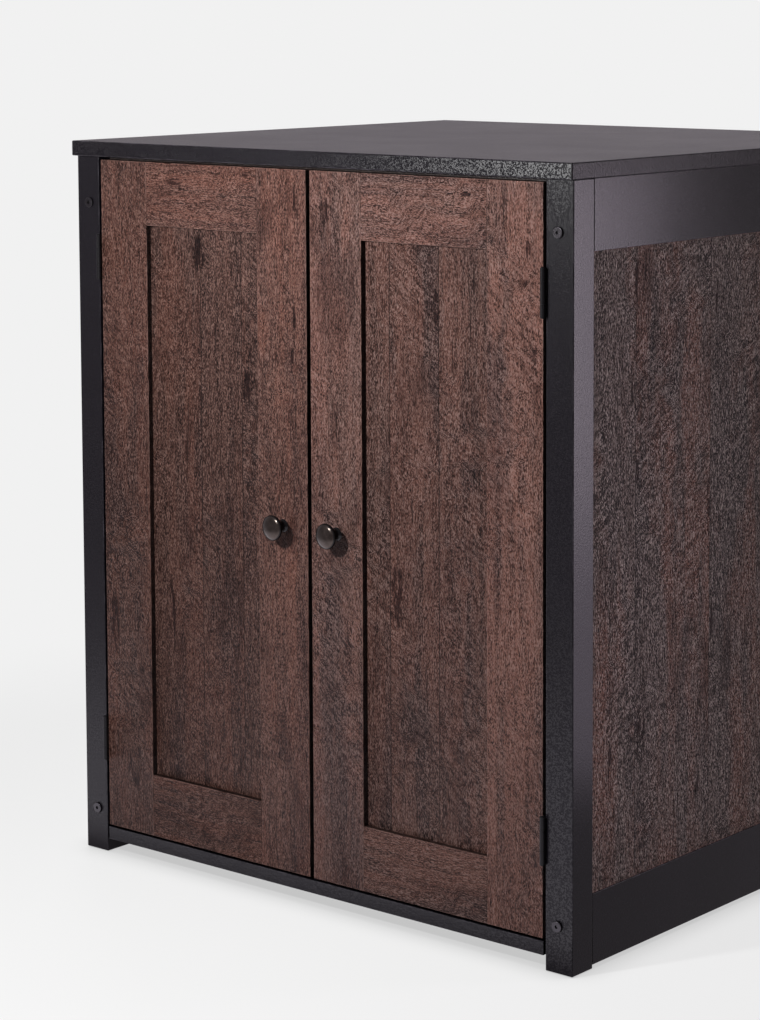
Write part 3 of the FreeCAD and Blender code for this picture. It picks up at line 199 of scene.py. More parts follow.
def board_finish(name, recipe, settings, index=1.2, relief=0.0001, strength=0.5,
                 shift=(0, 0, 0), turn=(0, 0, 0), joined=""):
    """Material of one board: a finish group on the board's own coordinates, which shift and turn
    place on it.  Its edges wear except where it is joined along an axis; index is the refractive
    index of its lacquer, low for a matt one, and relief is in metres.  A finish with a glint has
    it as a second, clear coat of lacquer."""
    material = bpy.data.materials.new(name.replace("_", " ") + " finish")
    material.use_nodes = True
    tree = material.node_tree
    place = step(tree, "TexCoord").outputs["Object"]
    low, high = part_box(name)
    free = tuple(0.0 if axis in joined else 1.0 for axis in "XYZ")
    edge = step(tree, "Group", place, low, high, free, node_tree=EDGE).outputs
    laid = step(tree, "Mapping", place, shift, turn).outputs[0]
    finish = step(tree, "Group", laid, edge["Edge"], edge["Joint"], node_tree=recipe)
    for socket, value in settings.items():
        finish.inputs[socket].default_value = value
    shader = feed_shader(tree, finish, step(tree, "Bump", strength, relief))
    if "Glint" in finish.outputs:
        tree.links.new(finish.outputs["Glint"], shader.inputs["Coat Weight"])
        shader.inputs["Coat Roughness"].default_value = GLINT_ROUGHNESS
    shader.inputs["IOR"].default_value = index
    return material, finish


def dress(name, material):
    """Give a piece of the case its finish."""
    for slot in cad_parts[name].material_slots:
        slot.material = material


CHARCOAL_FOIL = {"Foil": swatch("0f0d12"), "Speck": swatch("4f4b52"), "Specks": 0.10, "Wear": 0.5,
                 "Matt": 0.20, "Matt Face": 0.20, "Glitter": 0.15}
# each board with the axis along which its ends are joined
FRAME_BOARDS = {"front_left_post": "", "front_right_post": "", "back_left_post": "",
                "back_right_post": "", "left_upper_rail": "Y", "right_upper_rail": "Y",
                "left_lower_rail": "Y", "right_lower_rail": "Y", "bottom_panel": "X"}
for count, (name, joined) in enumerate(FRAME_BOARDS.items()):
    next_stretch = (0.31 * count, 0.17 * count, 0.23 * count)
    material, _ = board_finish(name, CHARCOAL, CHARCOAL_FOIL, index=1.17, relief=0.0003,
                               shift=next_stretch, joined=joined)
    dress(name, material)


# ------------------------------------------------------------------ side panels
# Thin boards between the posts and rails, pressed with a foil that prints weathered oak: smoky
# patches, red heartwood and short pores, embossed a little so that the pores catch the light.
def lines(recipe, place, across, along, blur, shift=0.0, detail=1.0, roughness=0.5):
    """Dark and pale lines of a grain, from -1 to 1, crisp where the blur is small."""
    noise = mottle(recipe, place, across, along, shift, detail, roughness)
    return fade(recipe, noise, 0.5 - blur, 0.5 + blur, -1.0, 1.0)


RIPPLE_SLANT = radians(-32)     # the ripples of figured oak lie askew to the grain
DARKEST = 0.12                  # the grain's shade stays between these two
PALEST = 1.5


def oak_recipe():
    """Printed oak with its grain along Z: dashes stretched along the grain, swayed where the grain
    curls, over cloudy changes of colour, smoky patches, stains and hairline checks.  Stain and Glow
    are masks of dark marks and of warm strips, Seam is the distance to a glue line, Tone And Light
    shades the whole board, partly its own tone and partly painted light and shade, Band Shade
    darkens all but its front and back faces, a dark edge band and painted shade on recess walls,
    and Sheen Colour colours a pale haze of painted sheen on the lighter lines of the grain, as
    strong as Sheen Strength says."""
    recipe, feed = new_recipe(
        "weathered oak print",
        {"Position": "Vector", "Edge": "Float", "Joint": "Float", "Smoke": "Color",
         "Brown": "Color", "Red": "Color", "Bare Edge Highlight": "Color", "Smokiness": "Float",
         "Redness": "Float", "Wear": "Float", "Stain": "Float", "Glow": "Float", "Seam": "Float",
         "Depth": "Float", "Grain": "Float", "Band Shade": "Float", "Sheen Colour": "Color",
         "Sheen Strength": "Float"},
        {"Color": "Color", "Roughness": "Float", "Height": "Float"})
    place = feed["Position"]

    # the grain sways a little, and by several millimetres where the oak is figured
    sway = mottle(recipe, place, across=13, along=24, shift=1.3)
    figured = fade(recipe, mottle(recipe, place, across=9, along=6, shift=8.9), 0.46, 0.62)
    curl = reckon(recipe, "MULTIPLY_ADD", figured, 0.036, 0.006)
    push = reckon(recipe, "MULTIPLY", reckon(recipe, "SUBTRACT", sway, 0.5), curl)
    swayed = vectors(recipe, "ADD", place, step(recipe, "CombineXYZ", push, push, 0.0).outputs[0])

    # long streaks, dashes, pores, and slanted flecks for the ripples
    streak = lines(recipe, swayed, across=130, along=4, blur=0.20, shift=4.4, detail=2.0, roughness=0.6)
    dash = lines(recipe, swayed, across=680, along=95, blur=0.17, detail=1.5, roughness=0.6)
    pore = lines(recipe, swayed, across=1050, along=330, blur=0.15, shift=2.2)
    askew = step(recipe, "Mapping", swayed, None, (RIPPLE_SLANT, RIPPLE_SLANT, 0)).outputs[0]
    fleck = lines(recipe, askew, across=60, along=330, blur=0.14, shift=27.1, detail=2.0, roughness=0.6)

    # brown wood, smoky or red in long clouds
    tone = mottle(recipe, swayed, across=16, along=2.2, shift=5.7, detail=4.0, roughness=0.6)
    tone = reckon(recipe, "MULTIPLY_ADD", streak, 0.05, tone)
    tone = reckon(recipe, "MULTIPLY_ADD", feed["Glow"], 0.10, tone)
    wood = coat(recipe, fade(recipe, tone, 0.36, 0.58), feed["Smoke"], feed["Brown"])
    warmth = mottle(recipe, swayed, across=15, along=2.5, shift=11.3, detail=3.0, roughness=0.55)
    warmth = reckon(recipe, "MULTIPLY_ADD", streak, 0.02, warmth)
    warmth = reckon(recipe, "MULTIPLY_ADD", feed["Glow"], 0.25, warmth)
    reddened = reckon(recipe, "MULTIPLY", fade(recipe, warmth, 0.42, 0.62), feed["Redness"])
    wood = coat(recipe, reddened, wood, feed["Red"])

    # nearly black patches, and stains with torn edges
    smoke = mottle(recipe, swayed, across=26, along=7, shift=17.1, detail=4.0, roughness=0.65)
    smoke = reckon(recipe, "MULTIPLY_ADD", streak, 0.03, smoke)
    smoky = reckon(recipe, "MULTIPLY", fade(recipe, smoke, 0.53, 0.70), feed["Smokiness"])
    torn = mottle(recipe, swayed, across=210, along=26, shift=19.7, detail=3.0, roughness=0.65)
    ragged = reckon(recipe, "MULTIPLY", feed["Stain"], fade(recipe, torn, 0.40, 0.62, 0.30, 1.30))
    ragged = reckon(recipe, "MULTIPLY_ADD", dash, 0.12, ragged)
    smoky = reckon(recipe, "MAXIMUM", smoky, fade(recipe, ragged, 0.35, 0.75))
    wood = coat(recipe, reckon(recipe, "MULTIPLY", smoky, 0.85), wood, swatch("1d0f0e"))

    # the grain's light and dark, narrow faces darker (edge band and painted shade), and painted sheen
    grain = reckon(recipe, "MULTIPLY_ADD", pore, 1.3, reckon(recipe, "MULTIPLY", dash, 0.7))
    grain = reckon(recipe, "MULTIPLY_ADD", reckon(recipe, "MULTIPLY", fleck, figured), 0.7, grain)
    shade = reckon(recipe, "MULTIPLY_ADD", streak, 0.20, 1.0)
    shade = reckon(recipe, "MULTIPLY_ADD", grain, feed["Grain"], shade)
    shade = reckon(recipe, "MINIMUM", reckon(recipe, "MAXIMUM", shade, DARKEST), PALEST)
    # each board's shade, partly its own tone and partly painted light and shade
    shade = reckon(recipe, "MULTIPLY", shade, feed["Depth"])
    # narrow faces: a dark edge band, and painted shade on the recess walls by the door panels
    narrow = reckon(recipe, "LESS_THAN", facing(recipe, "Y"), SQUARE_ON)
    band_shade = reckon(recipe, "SUBTRACT", 1.0, reckon(recipe, "MULTIPLY", narrow, feed["Band Shade"]))
    wood = dim(recipe, wood, reckon(recipe, "MULTIPLY", shade, band_shade))
    # painted sheen: a pale haze on the lighter lines of the grain, where gloss would catch the light
    painted_sheen = reckon(recipe, "MULTIPLY", fade(recipe, grain, 0.1, 1.7), feed["Sheen Strength"])
    painted_sheen = reckon(recipe, "MULTIPLY", painted_sheen, band_shade)
    painted_sheen = reckon(recipe, "MULTIPLY", painted_sheen, reckon(recipe, "SUBTRACT", 1.0, smoky))
    wood = coat(recipe, painted_sheen, wood, feed["Sheen Colour"])

    # hairline checks, pale edges (wear and a painted highlight), and dark glue lines and joints
    check = mottle(recipe, swayed, across=420, along=11, shift=23.9)
    check = fade(recipe, check, 0.66, 0.73)
    wood = coat(recipe, reckon(recipe, "MULTIPLY", check, 0.7), wood, swatch("160b0a"))
    # pale edges: rubbed bare, and a painted highlight where the edges catch the light
    patchy = mottle(recipe, place, across=70, along=30, shift=31.0, detail=2.0, roughness=0.6)
    rubbed = fade(recipe, feed["Edge"], 0.0003, 0.0014, 1.0, 0.0)
    rubbed = reckon(recipe, "MULTIPLY", rubbed, fade(recipe, patchy, 0.35, 0.6))
    wood = coat(recipe, reckon(recipe, "MULTIPLY", rubbed, feed["Wear"]), wood, feed["Bare Edge Highlight"])
    shut = reckon(recipe, "MINIMUM", feed["Seam"], feed["Joint"])
    wood = dim(recipe, wood, fade(recipe, shut, 0.0002, 0.0011, 0.30, 1.0))

    # duller where it is dark, and embossed along the lines of the grain
    rough = reckon(recipe, "MULTIPLY_ADD", dash, -0.06, 0.36)
    rough = reckon(recipe, "MULTIPLY_ADD", smoky, 0.10, rough)
    relief = reckon(recipe, "MULTIPLY_ADD", streak, 0.35, dash)
    relief = reckon(recipe, "MULTIPLY_ADD", pore, 0.35, relief)
    relief = reckon(recipe, "MULTIPLY_ADD", check, -1.2, relief)
    return serve(recipe, Color=wood, Roughness=rough, Height=relief)


def spot_recipe():
    """Soft-edged patch: 1 at its middle, 0 past an ellipse of the given half sizes.  Other is the
    mask of the patches laid before it, and the stronger of the two stays."""
    recipe, feed = new_recipe(
        "soft patch",
        {"Position": "Vector", "Middle": "Vector", "Half": "Vector", "Other": "Float"},
        {"Mask": "Float"})
    offset = vectors(recipe, "SUBTRACT", feed["Position"], feed["Middle"])
    offset = vectors(recipe, "DIVIDE", offset, feed["Half"])
    reach = step(recipe, "VectorMath", offset, operation="LENGTH").outputs["Value"]
    mask = reckon(recipe, "MAXIMUM", fade(recipe, reach, 0.1, 1.2, 1.0, 0.0), feed["Other"])
    return serve(recipe, Mask=mask)


def plank_recipe():
    """Planks glued side by side: the print jumps from one to the next, and Seam is the distance to
    the nearer of two glue lines at the given places across the grain."""
    recipe, feed = new_recipe(
        "glued planks",
        {"Position": "Vector", "Across": "Float", "First": "Float", "Second": "Float"},
        {"Position": "Vector", "Seam": "Float"})
    past_first = reckon(recipe, "GREATER_THAN", feed["Across"], feed["First"])
    past_second = reckon(recipe, "GREATER_THAN", feed["Across"], feed["Second"])
    jump = reckon(recipe, "ADD", past_first, past_second)
    jump = step(recipe, "CombineXYZ", jump, jump, jump).outputs[0]
    jumped = vectors(recipe, "MULTIPLY_ADD", jump, (0.83, 0.61, 1.37), feed["Position"])
    first = reckon(recipe, "ABSOLUTE", reckon(recipe, "SUBTRACT", feed["Across"], feed["First"]))
    second = reckon(recipe, "ABSOLUTE", reckon(recipe, "SUBTRACT", feed["Across"], feed["Second"]))
    return serve(recipe, Position=jumped, Seam=reckon(recipe, "MINIMUM", first, second))


OAK = oak_recipe()
SPOT = spot_recipe()
PLANKS = plank_recipe()


def mark(material, finish, socket, marks):
    """Lay soft patches, each (middle, half sizes) in metres, on a board for one input of its print."""
    tree = material.node_tree
    place = step(tree, "TexCoord").outputs["Object"]
    mask = 0.0
    for middle, half in marks:
        mask = step(tree, "Group", place, middle, half, mask, node_tree=SPOT).outputs[0]
    tree.links.new(mask, finish.inputs[socket])


def glue_planks(material, finish, axis, first, second):
    """Show a panel's print as three planks with glue lines at two places along an axis."""
    tree = material.node_tree
    place = step(tree, "TexCoord").outputs["Object"]
    across = step(tree, "SeparateXYZ", place).outputs[axis]
    laid = finish.inputs["Position"].links[0].from_socket
    planks = step(tree, "Group", laid, across, first, second, node_tree=PLANKS).outputs
    tree.links.new(planks["Position"], finish.inputs["Position"])
    tree.links.new(planks["Seam"], finish.inputs["Seam"])


OAK_FOIL = {"Smoke": swatch("412b27"), "Brown": swatch("573c35"), "Red": swatch("694338"),
            "Bare Edge Highlight": swatch("8f7068"), "Smokiness": 0.6, "Redness": 0.6, "Wear": 0.5, "Seam": 1.0,
            "Depth": 1.0, "Grain": 0.46, "Band Shade": 0.0, "Sheen Colour": swatch("8d726a"), "Sheen Strength": 0.5}
# the sides' foil: greyer, partly its own tone and partly painted sheen, with a strong painted sheen on
# its pale grain lines
SHEENED_SIDE_FOIL = {**OAK_FOIL, "Smoke": swatch("3c312e"), "Brown": swatch("534640"),
             "Red": swatch("7c4e3b"), "Grain": 0.95, "Sheen Colour": swatch("aca198"), "Sheen Strength": 0.9}
SIDE_SEAMS = (-0.235, -0.085)
# dark marks and warm strips as (y, z, half width, half height), in metres
SIDE_STAINS = [(-0.240, 0.657, 0.008, 0.040), (-0.235, 0.784, 0.007, 0.040),
               (-0.232, 0.560, 0.005, 0.030), (-0.072, 0.740, 0.006, 0.034),
               (-0.088, 0.500, 0.005, 0.060), (-0.080, 0.360, 0.006, 0.030),
               (-0.228, 0.430, 0.007, 0.026), (-0.225, 0.250, 0.018, 0.050),
               (-0.283, 0.220, 0.006, 0.050), (-0.110, 0.170, 0.006, 0.050),
               (0.105, 0.560, 0.010, 0.060), (0.250, 0.330, 0.014, 0.050)]
SIDE_GLOWS = [(-0.125, 0.640, 0.022, 0.130), (-0.120, 0.470, 0.018, 0.100)]
THROUGH = 1                     # half size of a mark across the board's thickness: all of it
for name, shift in (("left_side_panel", (0.7, 0.9, 0.2)), ("right_side_panel", (0.3, 0.5, 0.8))):
    material, finish = board_finish(name, OAK, SHEENED_SIDE_FOIL, index=1.13, relief=0.0007, strength=1.0,
                                    shift=shift)
    glue_planks(material, finish, "Y", *SIDE_SEAMS)
    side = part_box(name)[1][0]
    for socket, patches in (("Stain", SIDE_STAINS), ("Glow", SIDE_GLOWS)):
        spots = [((side, y, z), (THROUGH, wide, high)) for y, z, wide, high in patches]
        mark(material, finish, socket, spots)
    dress(name, material)


# ------------------------------------------------------------------ top
# One overhanging board under the same charcoal foil, held from below by screwed brackets.  The
# foil is embossed deeper here and duller on the upper face, and it sparkles on the front edge.
TOP_FOIL = {**CHARCOAL_FOIL, "Matt Face": 0.395, "Glitter": 0.40}
material, _ = board_finish("top_panel", CHARCOAL, TOP_FOIL, index=1.15, relief=0.0004, strength=1.0)
dress("top_panel", material)


# ------------------------------------------------------------------ back, shelves, tray and battens
# Cheaper board inside and behind, under a matt, nearly black oak foil.  Its grain runs up the
# upright boards, across the level ones and from front to back on the deep ones.  The back and
# the battens are screwed on, the tray runs on slides, and the loose shelf stands on pins.
DARK_FOIL = {**OAK_FOIL, "Smoke": swatch("2b2727"), "Brown": swatch("383231"),
             "Red": swatch("41362f"), "Bare Edge Highlight": swatch("6f6560"), "Smokiness": 0.4, "Redness": 0.5,
             "Wear": 0.4, "Grain": 0.35, "Sheen Colour": swatch("4a4442"), "Sheen Strength": 0.3}
UPRIGHT = (0, 0, 0)
LEVEL = (0, radians(90), 0)
DEEP = (radians(90), 0, 0)
UPRIGHT_BOARDS = ["cpu_divider", "back_panel"]
LEVEL_BOARDS = ["fixed_shelf", "adjustable_shelf", "keyboard_tray", "front_top_rail",
                "back_upper_rail", "back_lower_rail"]
DEEP_BOARDS = ["tray_sides", "left_slide_batten", "right_slide_batten"]
for boards, turn in ((UPRIGHT_BOARDS, UPRIGHT), (LEVEL_BOARDS, LEVEL), (DEEP_BOARDS, DEEP)):
    for count, name in enumerate(boards):
        next_stretch = (0.41 * count, 0.13, 0.57 * count)
        material, _ = board_finish(name, OAK, DARK_FOIL, index=1.3, relief=0.0002,
                                   shift=next_stretch, turn=turn)
        dress(name, material)


# ------------------------------------------------------------------ door frames and panels
# Each door is two full-height stiles, two rails butted between them and a thin panel of glued
# planks let into their grooves, all under the oak foil with the grain along each board.  The
# right door's foil is cooler and greyer, a painted sheen for the gloss the lamps put on that door.
COOL_SHEEN_FOIL = {**OAK_FOIL, "Smoke": swatch("412e2b"), "Brown": swatch("573f39"),
             "Red": swatch("69473e"), "Sheen Colour": swatch("8d7873")}
# how dark the narrow faces of the door boards are: a dark edge band, and painted shade on recess walls
EDGE_BAND_SHADE = 0.85
# each board's place on the roll of foil, the way of its grain, and its shade: partly a tone of
# its own, and partly painted light, darker on the left door's hinge stile and panel and on the
# bottom rails, lighter on the right door
DOOR_BOARDS = {
    "left_door_hinge_stile": ((3.3, 1.9, 2.4), UPRIGHT, 0.66),
    "left_door_latch_stile": ((0.9, 0.4, 0.3), UPRIGHT, 1.0),
    "left_door_top_rail": ((0.4, 0.8, 0.1), LEVEL, 0.95),
    "left_door_bottom_rail": ((0.6, 0.2, 0.7), LEVEL, 0.75),
    "left_door_panel": ((1.4, 0.6, 0.9), UPRIGHT, 0.60),
    "right_door_hinge_stile": ((1.7, 0.5, 0.4), UPRIGHT, 1.42),
    "right_door_latch_stile": ((2.1, 0.3, 0.6), UPRIGHT, 1.16),
    "right_door_top_rail": ((1.2, 0.7, 1.1), LEVEL, 1.25),
    "right_door_bottom_rail": ((1.9, 0.1, 1.6), LEVEL, 1.1),
    "right_door_panel": ((2.6, 0.9, 1.3), UPRIGHT, 0.88),
}
DOOR_SEAMS = {"left_door_panel": (-0.185, -0.116), "right_door_panel": (0.120, 0.194)}
# dark marks and warm strips as (x, z, half width, half height), in metres
STAINS = {
    "left_door_top_rail": [(-0.222, 0.872, 0.024, 0.012), (-0.103, 0.881, 0.009, 0.004)],
    "left_door_hinge_stile": [(-0.335, 0.300, 0.012, 0.060), (-0.300, 0.120, 0.020, 0.040)],
    "left_door_panel": [(-0.189, 0.780, 0.018, 0.036), (-0.145, 0.786, 0.003, 0.008),
                        (-0.108, 0.640, 0.012, 0.075), (-0.240, 0.330, 0.010, 0.060)],
    "left_door_latch_stile": [(-0.021, 0.855, 0.005, 0.022), (-0.022, 0.712, 0.005, 0.026),
                              (-0.026, 0.668, 0.004, 0.014)],
    "right_door_latch_stile": [(0.027, 0.840, 0.012, 0.030), (0.060, 0.340, 0.010, 0.050)],
    "right_door_top_rail": [(0.094, 0.874, 0.010, 0.005), (0.238, 0.873, 0.014, 0.004)],
    "right_door_panel": [(0.190, 0.735, 0.005, 0.040), (0.130, 0.400, 0.016, 0.060)],
    "right_door_hinge_stile": [(0.329, 0.813, 0.005, 0.020), (0.325, 0.775, 0.005, 0.012),
                               (0.339, 0.697, 0.006, 0.018), (0.301, 0.690, 0.004, 0.005)],
}
GLOWS = {
    "left_door_hinge_stile": [(-0.315, 0.800, 0.014, 0.060), (-0.310, 0.640, 0.016, 0.080)],
    "left_door_panel": [(-0.240, 0.720, 0.026, 0.130)],
    "left_door_latch_stile": [(-0.074, 0.694, 0.012, 0.040), (-0.070, 0.860, 0.010, 0.040)],
    "right_door_latch_stile": [(0.060, 0.830, 0.012, 0.060), (0.050, 0.700, 0.018, 0.060)],
    "right_door_panel": [(0.150, 0.740, 0.034, 0.070)],
    "right_door_hinge_stile": [(0.285, 0.750, 0.014, 0.050), (0.318, 0.830, 0.024, 0.060),
                               (0.312, 0.725, 0.022, 0.060)],
}
door_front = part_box("left_door_panel")[0][1]
for name, (shift, turn, tone_and_light) in DOOR_BOARDS.items():
    foil = COOL_SHEEN_FOIL if name.startswith("right") else OAK_FOIL
    foil = {**foil, "Depth": tone_and_light, "Band Shade": EDGE_BAND_SHADE}
    material, finish = board_finish(name, OAK, foil, index=1.15, relief=0.0004, strength=1.0,
                                    shift=shift, turn=turn, joined="X" if turn == LEVEL else "")
    if name in DOOR_SEAMS:
        glue_planks(material, finish, "X", *DOOR_SEAMS[name])
    for socket, patches in (("Stain", STAINS), ("Glow", GLOWS)):
        if name in patches:
            spots = [((x, door_front, z), (wide, THROUGH, high)) for x, z, wide, high in patches[name]]
            mark(material, finish, socket, spots)
    dress(name, material)


# ------------------------------------------------------------------ knobs
# Turned mushroom knobs of zinc alloy under a dark gunmetal plating, satin.  The plating is bright
# on the domed face and black on the rim and the stem, a patina with painted dark reflection on the
# rim and painted shade on the stem, and a screw holds each from inside.
def metal_recipe():
    """Plated or painted metal: faint clouds of colour, a fine orange peel and hairline scratches."""
    recipe, feed = new_recipe(
        "worked metal",
        {"Position": "Vector", "Metal": "Color", "Clean": "Float"},
        {"Color": "Color", "Roughness": "Float", "Height": "Float"})
    place = feed["Position"]
    cloud = mottle(recipe, place, across=140, along=140, detail=3.0, roughness=0.6)
    peel = mottle(recipe, place, across=1500, along=1500, shift=6.0)
    scratch = mottle(recipe, place, across=2600, along=160, shift=9.0)
    metal = dim(recipe, feed["Metal"], vary(recipe, 1.0, cloud, 1.1))
    rough = reckon(recipe, "MULTIPLY_ADD", cloud, 0.22, feed["Clean"])
    rough = reckon(recipe, "MULTIPLY_ADD", scratch, 0.12, rough)
    return serve(recipe, Color=metal, Roughness=rough, Height=peel)


METAL = metal_recipe()


def metal_finish(name, colour, metallic, clean, specular=0.5, relief=0.00003):
    """Material of metal or plastic fittings: the worked-metal group on one Principled shader."""
    material = bpy.data.materials.new(name)
    material.use_nodes = True
    tree = material.node_tree
    place = step(tree, "TexCoord").outputs["Object"]
    finish = step(tree, "Group", place, colour, clean, node_tree=METAL)
    shader = feed_shader(tree, finish, step(tree, "Bump", 0.5, relief))
    shader.inputs["Metallic"].default_value = metallic
    shader.inputs["Specular IOR Level"].default_value = specular
    return material, finish, shader


KNOB_METALLIC = 0.9
FACE_RADIUS = 0.0134            # the plating is bright within this radius
RIM_RADIUS = 0.0145             # and black past this one
FACE_DEPTH = 0.0030             # it is bright this far behind the front of the face
RIM_DEPTH = 0.0045              # and black from here back
SHOULDER_RADIUS = 0.0105        # the face rounds off past this radius
SHOULDER_FALL = -42.0           # height in metres per square metre of radius past it
PEEL_HEIGHT = 0.000004


def knob_recipe():
    """Wear of a turned knob about its axis, which runs along Y through Middle at the front of its
    face: bright plating on the face, black on the rim and stem, a patina with painted dark reflection
    and painted shade, and a rounded shoulder.  The height is in metres."""
    recipe, feed = new_recipe(
        "knob wear",
        {"Position": "Vector", "Middle": "Vector", "Metal": "Color", "Peel": "Float"},
        {"Color": "Color", "Metallic": "Float", "Height": "Float"})
    offset = vectors(recipe, "SUBTRACT", feed["Position"], feed["Middle"])
    behind = step(recipe, "SeparateXYZ", offset).outputs["Y"]
    flat = vectors(recipe, "MULTIPLY", offset, (1, 0, 1))
    away = step(recipe, "VectorMath", flat, operation="LENGTH").outputs["Value"]
    # black rim and stem: patina, painted dark reflection on the rim and painted shade on the stem
    patina_and_painted_dark = reckon(recipe, "MAXIMUM", fade(recipe, away, FACE_RADIUS, RIM_RADIUS),
                    fade(recipe, behind, FACE_DEPTH, RIM_DEPTH))
    metal = coat(recipe, patina_and_painted_dark, feed["Metal"], swatch("0b0909"))
    metallic = reckon(recipe, "MULTIPLY_ADD", patina_and_painted_dark, -KNOB_METALLIC, KNOB_METALLIC)
    fall = reckon(recipe, "MAXIMUM", reckon(recipe, "SUBTRACT", away, SHOULDER_RADIUS), 0.0)
    shoulder = reckon(recipe, "MULTIPLY", reckon(recipe, "POWER", fall, 2.0), SHOULDER_FALL)
    height = reckon(recipe, "MULTIPLY_ADD", feed["Peel"], PEEL_HEIGHT, shoulder)
    return serve(recipe, Color=metal, Metallic=metallic, Height=height)


KNOB = knob_recipe()
for name in ("left_door_knob", "right_door_knob"):
    material, plating, shader = metal_finish(name.replace("_", " ") + " plating", swatch("302b28"),
                                             KNOB_METALLIC, clean=0.06, relief=1.0)
    tree = material.node_tree
    low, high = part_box(name)
    middle = ((low[0] + high[0]) / 2, low[1], (low[2] + high[2]) / 2)
    worn = step(tree, "Group", step(tree, "TexCoord").outputs["Object"], middle,
                plating.outputs["Color"], plating.outputs["Height"], node_tree=KNOB).outputs
    bump = shader.inputs["Normal"].links[0].from_node
    bump.inputs["Strength"].default_value = 1.0
    tree.links.new(worn["Color"], shader.inputs["Base Color"])
    tree.links.new(worn["Metallic"], shader.inputs["Metallic"])
    tree.links.new(worn["Height"], bump.inputs["Height"])
    shader.inputs["IOR"].default_value = 1.2
    dress(name, material)


# ------------------------------------------------------------------ hinges, bolts and hidden fittings
# Black-painted butt hinges, black oxide frame bolts, zinc-plated screws, slides, brackets and
# strike plates, black nylon glides, grommets and catches, and beech dowels.  The bolts draw the
# posts against the rails; the hinges, slides, brackets, catches and plates are screwed on.
HINGES = ["hinge_frame_leaves", "hinge_pins", "left_door_hinge_leaves", "right_door_hinge_leaves"]
ZINC_PLATED = ["barrel_nuts", "cabinet_screws", "corner_brackets", "back_panel_screws",
               "batten_screws", "shelf_pins", "tray_screws", "slide_outer_members",
               "slide_middle_members", "slide_inner_members", "left_door_screws",
               "right_door_screws", "left_door_knob_screw", "right_door_knob_screw",
               "left_door_strike_plate", "right_door_strike_plate"]
MOULDED = ["floor_glides", "cable_grommets", "magnetic_catches"]
black_paint, _, _ = metal_finish("black painted steel", swatch("0f0e10"), 0.0, 0.30, specular=0.10)
black_oxide, _, _ = metal_finish("black oxide steel", swatch("201e21"), 0.8, 0.05)
zinc, _, _ = metal_finish("zinc plate", swatch("b9bbbd"), 1.0, 0.24)
nylon, _, _ = metal_finish("black nylon", swatch("1c1c1e"), 0.0, 0.40, specular=0.15)
for fittings, material in ((HINGES, black_paint), (["frame_bolts"], black_oxide),
                           (ZINC_PLATED, zinc), (MOULDED, nylon)):
    for name in fittings:
        dress(name, material)
BEECH = {**OAK_FOIL, "Smoke": swatch("b08a5e"), "Brown": swatch("c49c6c"), "Red": swatch("cf9f70"),
         "Bare Edge Highlight": swatch("dcc09a"), "Smokiness": 0.1, "Redness": 0.4, "Wear": 0.2, "Grain": 0.15,
         "Sheen Colour": swatch("dcc09a"), "Sheen Strength": 0.1}
material, _ = board_finish("dowels", OAK, BEECH)
dress("dowels", material)


# ------------------------------------------------------------------ floor and background
# A wide pale floor that takes the soft shadow of the case and fades into an even pale background.
# Glossy faces see a violet tinge in both, and a bright pool of floor in front of the doors.
PALE = swatch("f1f1f1")
TINGED = swatch("f2e8f0")
POOL_COLOUR = (0.95, 0.92, 1.0, 1.0)
FLOOR_RADIUS = 60.0
FLOOR_CORNERS = 64
FLOOR_GREY = 0.17               # what the floor near the case shows of the lamps
CONTACT_REACH = 0.05            # the contact shadow round the posts and below the case
NEAR_GLOW = 0.765               # the pallor of the floor near the case that is its own
SHADED_GLOW = 0.55              # and what is left of it in the contact shadow
FLOOR_FADES = 0.8               # the near floor passes into the background between these
FLOOR_GONE = 1.4
FAR_BOUNCE = 0.12               # light that the background sheds on dull faces
POOL_STRENGTH = 2.6             # the pool, full up to one distance and gone at the other
POOL_FULL = 0.9
POOL_GONE = 1.9
POOL_BACK = -0.36               # its edge at the doors, soft from here to the next
POOL_FRONT = -0.45
AMBIENT = 0.05
angles = np.linspace(0, 2 * np.pi, FLOOR_CORNERS, endpoint=False)
rim = np.stack([FLOOR_RADIUS * np.cos(angles), FLOOR_RADIUS * np.sin(angles), 0 * angles], axis=1)
floor_mesh = bpy.data.meshes.new("floor")
floor_mesh.from_pydata(rim.tolist(), [], [list(range(len(rim)))])
floor = bpy.data.objects.new("floor", floor_mesh)
bpy.context.scene.collection.objects.link(floor)
pale_floor = bpy.data.materials.new("pale floor")
pale_floor.use_nodes = True
tree = pale_floor.node_tree
tree.nodes.remove(tree.nodes["Principled BSDF"])
path = step(tree, "LightPath").outputs
place = step(tree, "TexCoord").outputs["Object"]
away = step(tree, "VectorMath", place, operation="LENGTH").outputs["Value"]
mirrored = reckon(tree, "MAXIMUM", path["Is Glossy Ray"], path["Is Transmission Ray"])
seen = reckon(tree, "MAXIMUM", mirrored, path["Is Camera Ray"])

# near the case: a grey that the lamps light and the case shades, with most of its pallor a glow
contact = step(tree, "AmbientOcclusion", (1, 1, 1, 1), CONTACT_REACH).outputs["AO"]
contact = fade(tree, contact, 0.2, 1.0, SHADED_GLOW, NEAR_GLOW)
own = reckon(tree, "MULTIPLY", contact, path["Is Camera Ray"])
own = step(tree, "Emission", (1, 1, 1, 1), own).outputs[0]
lit = step(tree, "BsdfDiffuse", (FLOOR_GREY, FLOOR_GREY, FLOOR_GREY, 1.0)).outputs[0]
near = step(tree, "AddShader", lit, own).outputs[0]

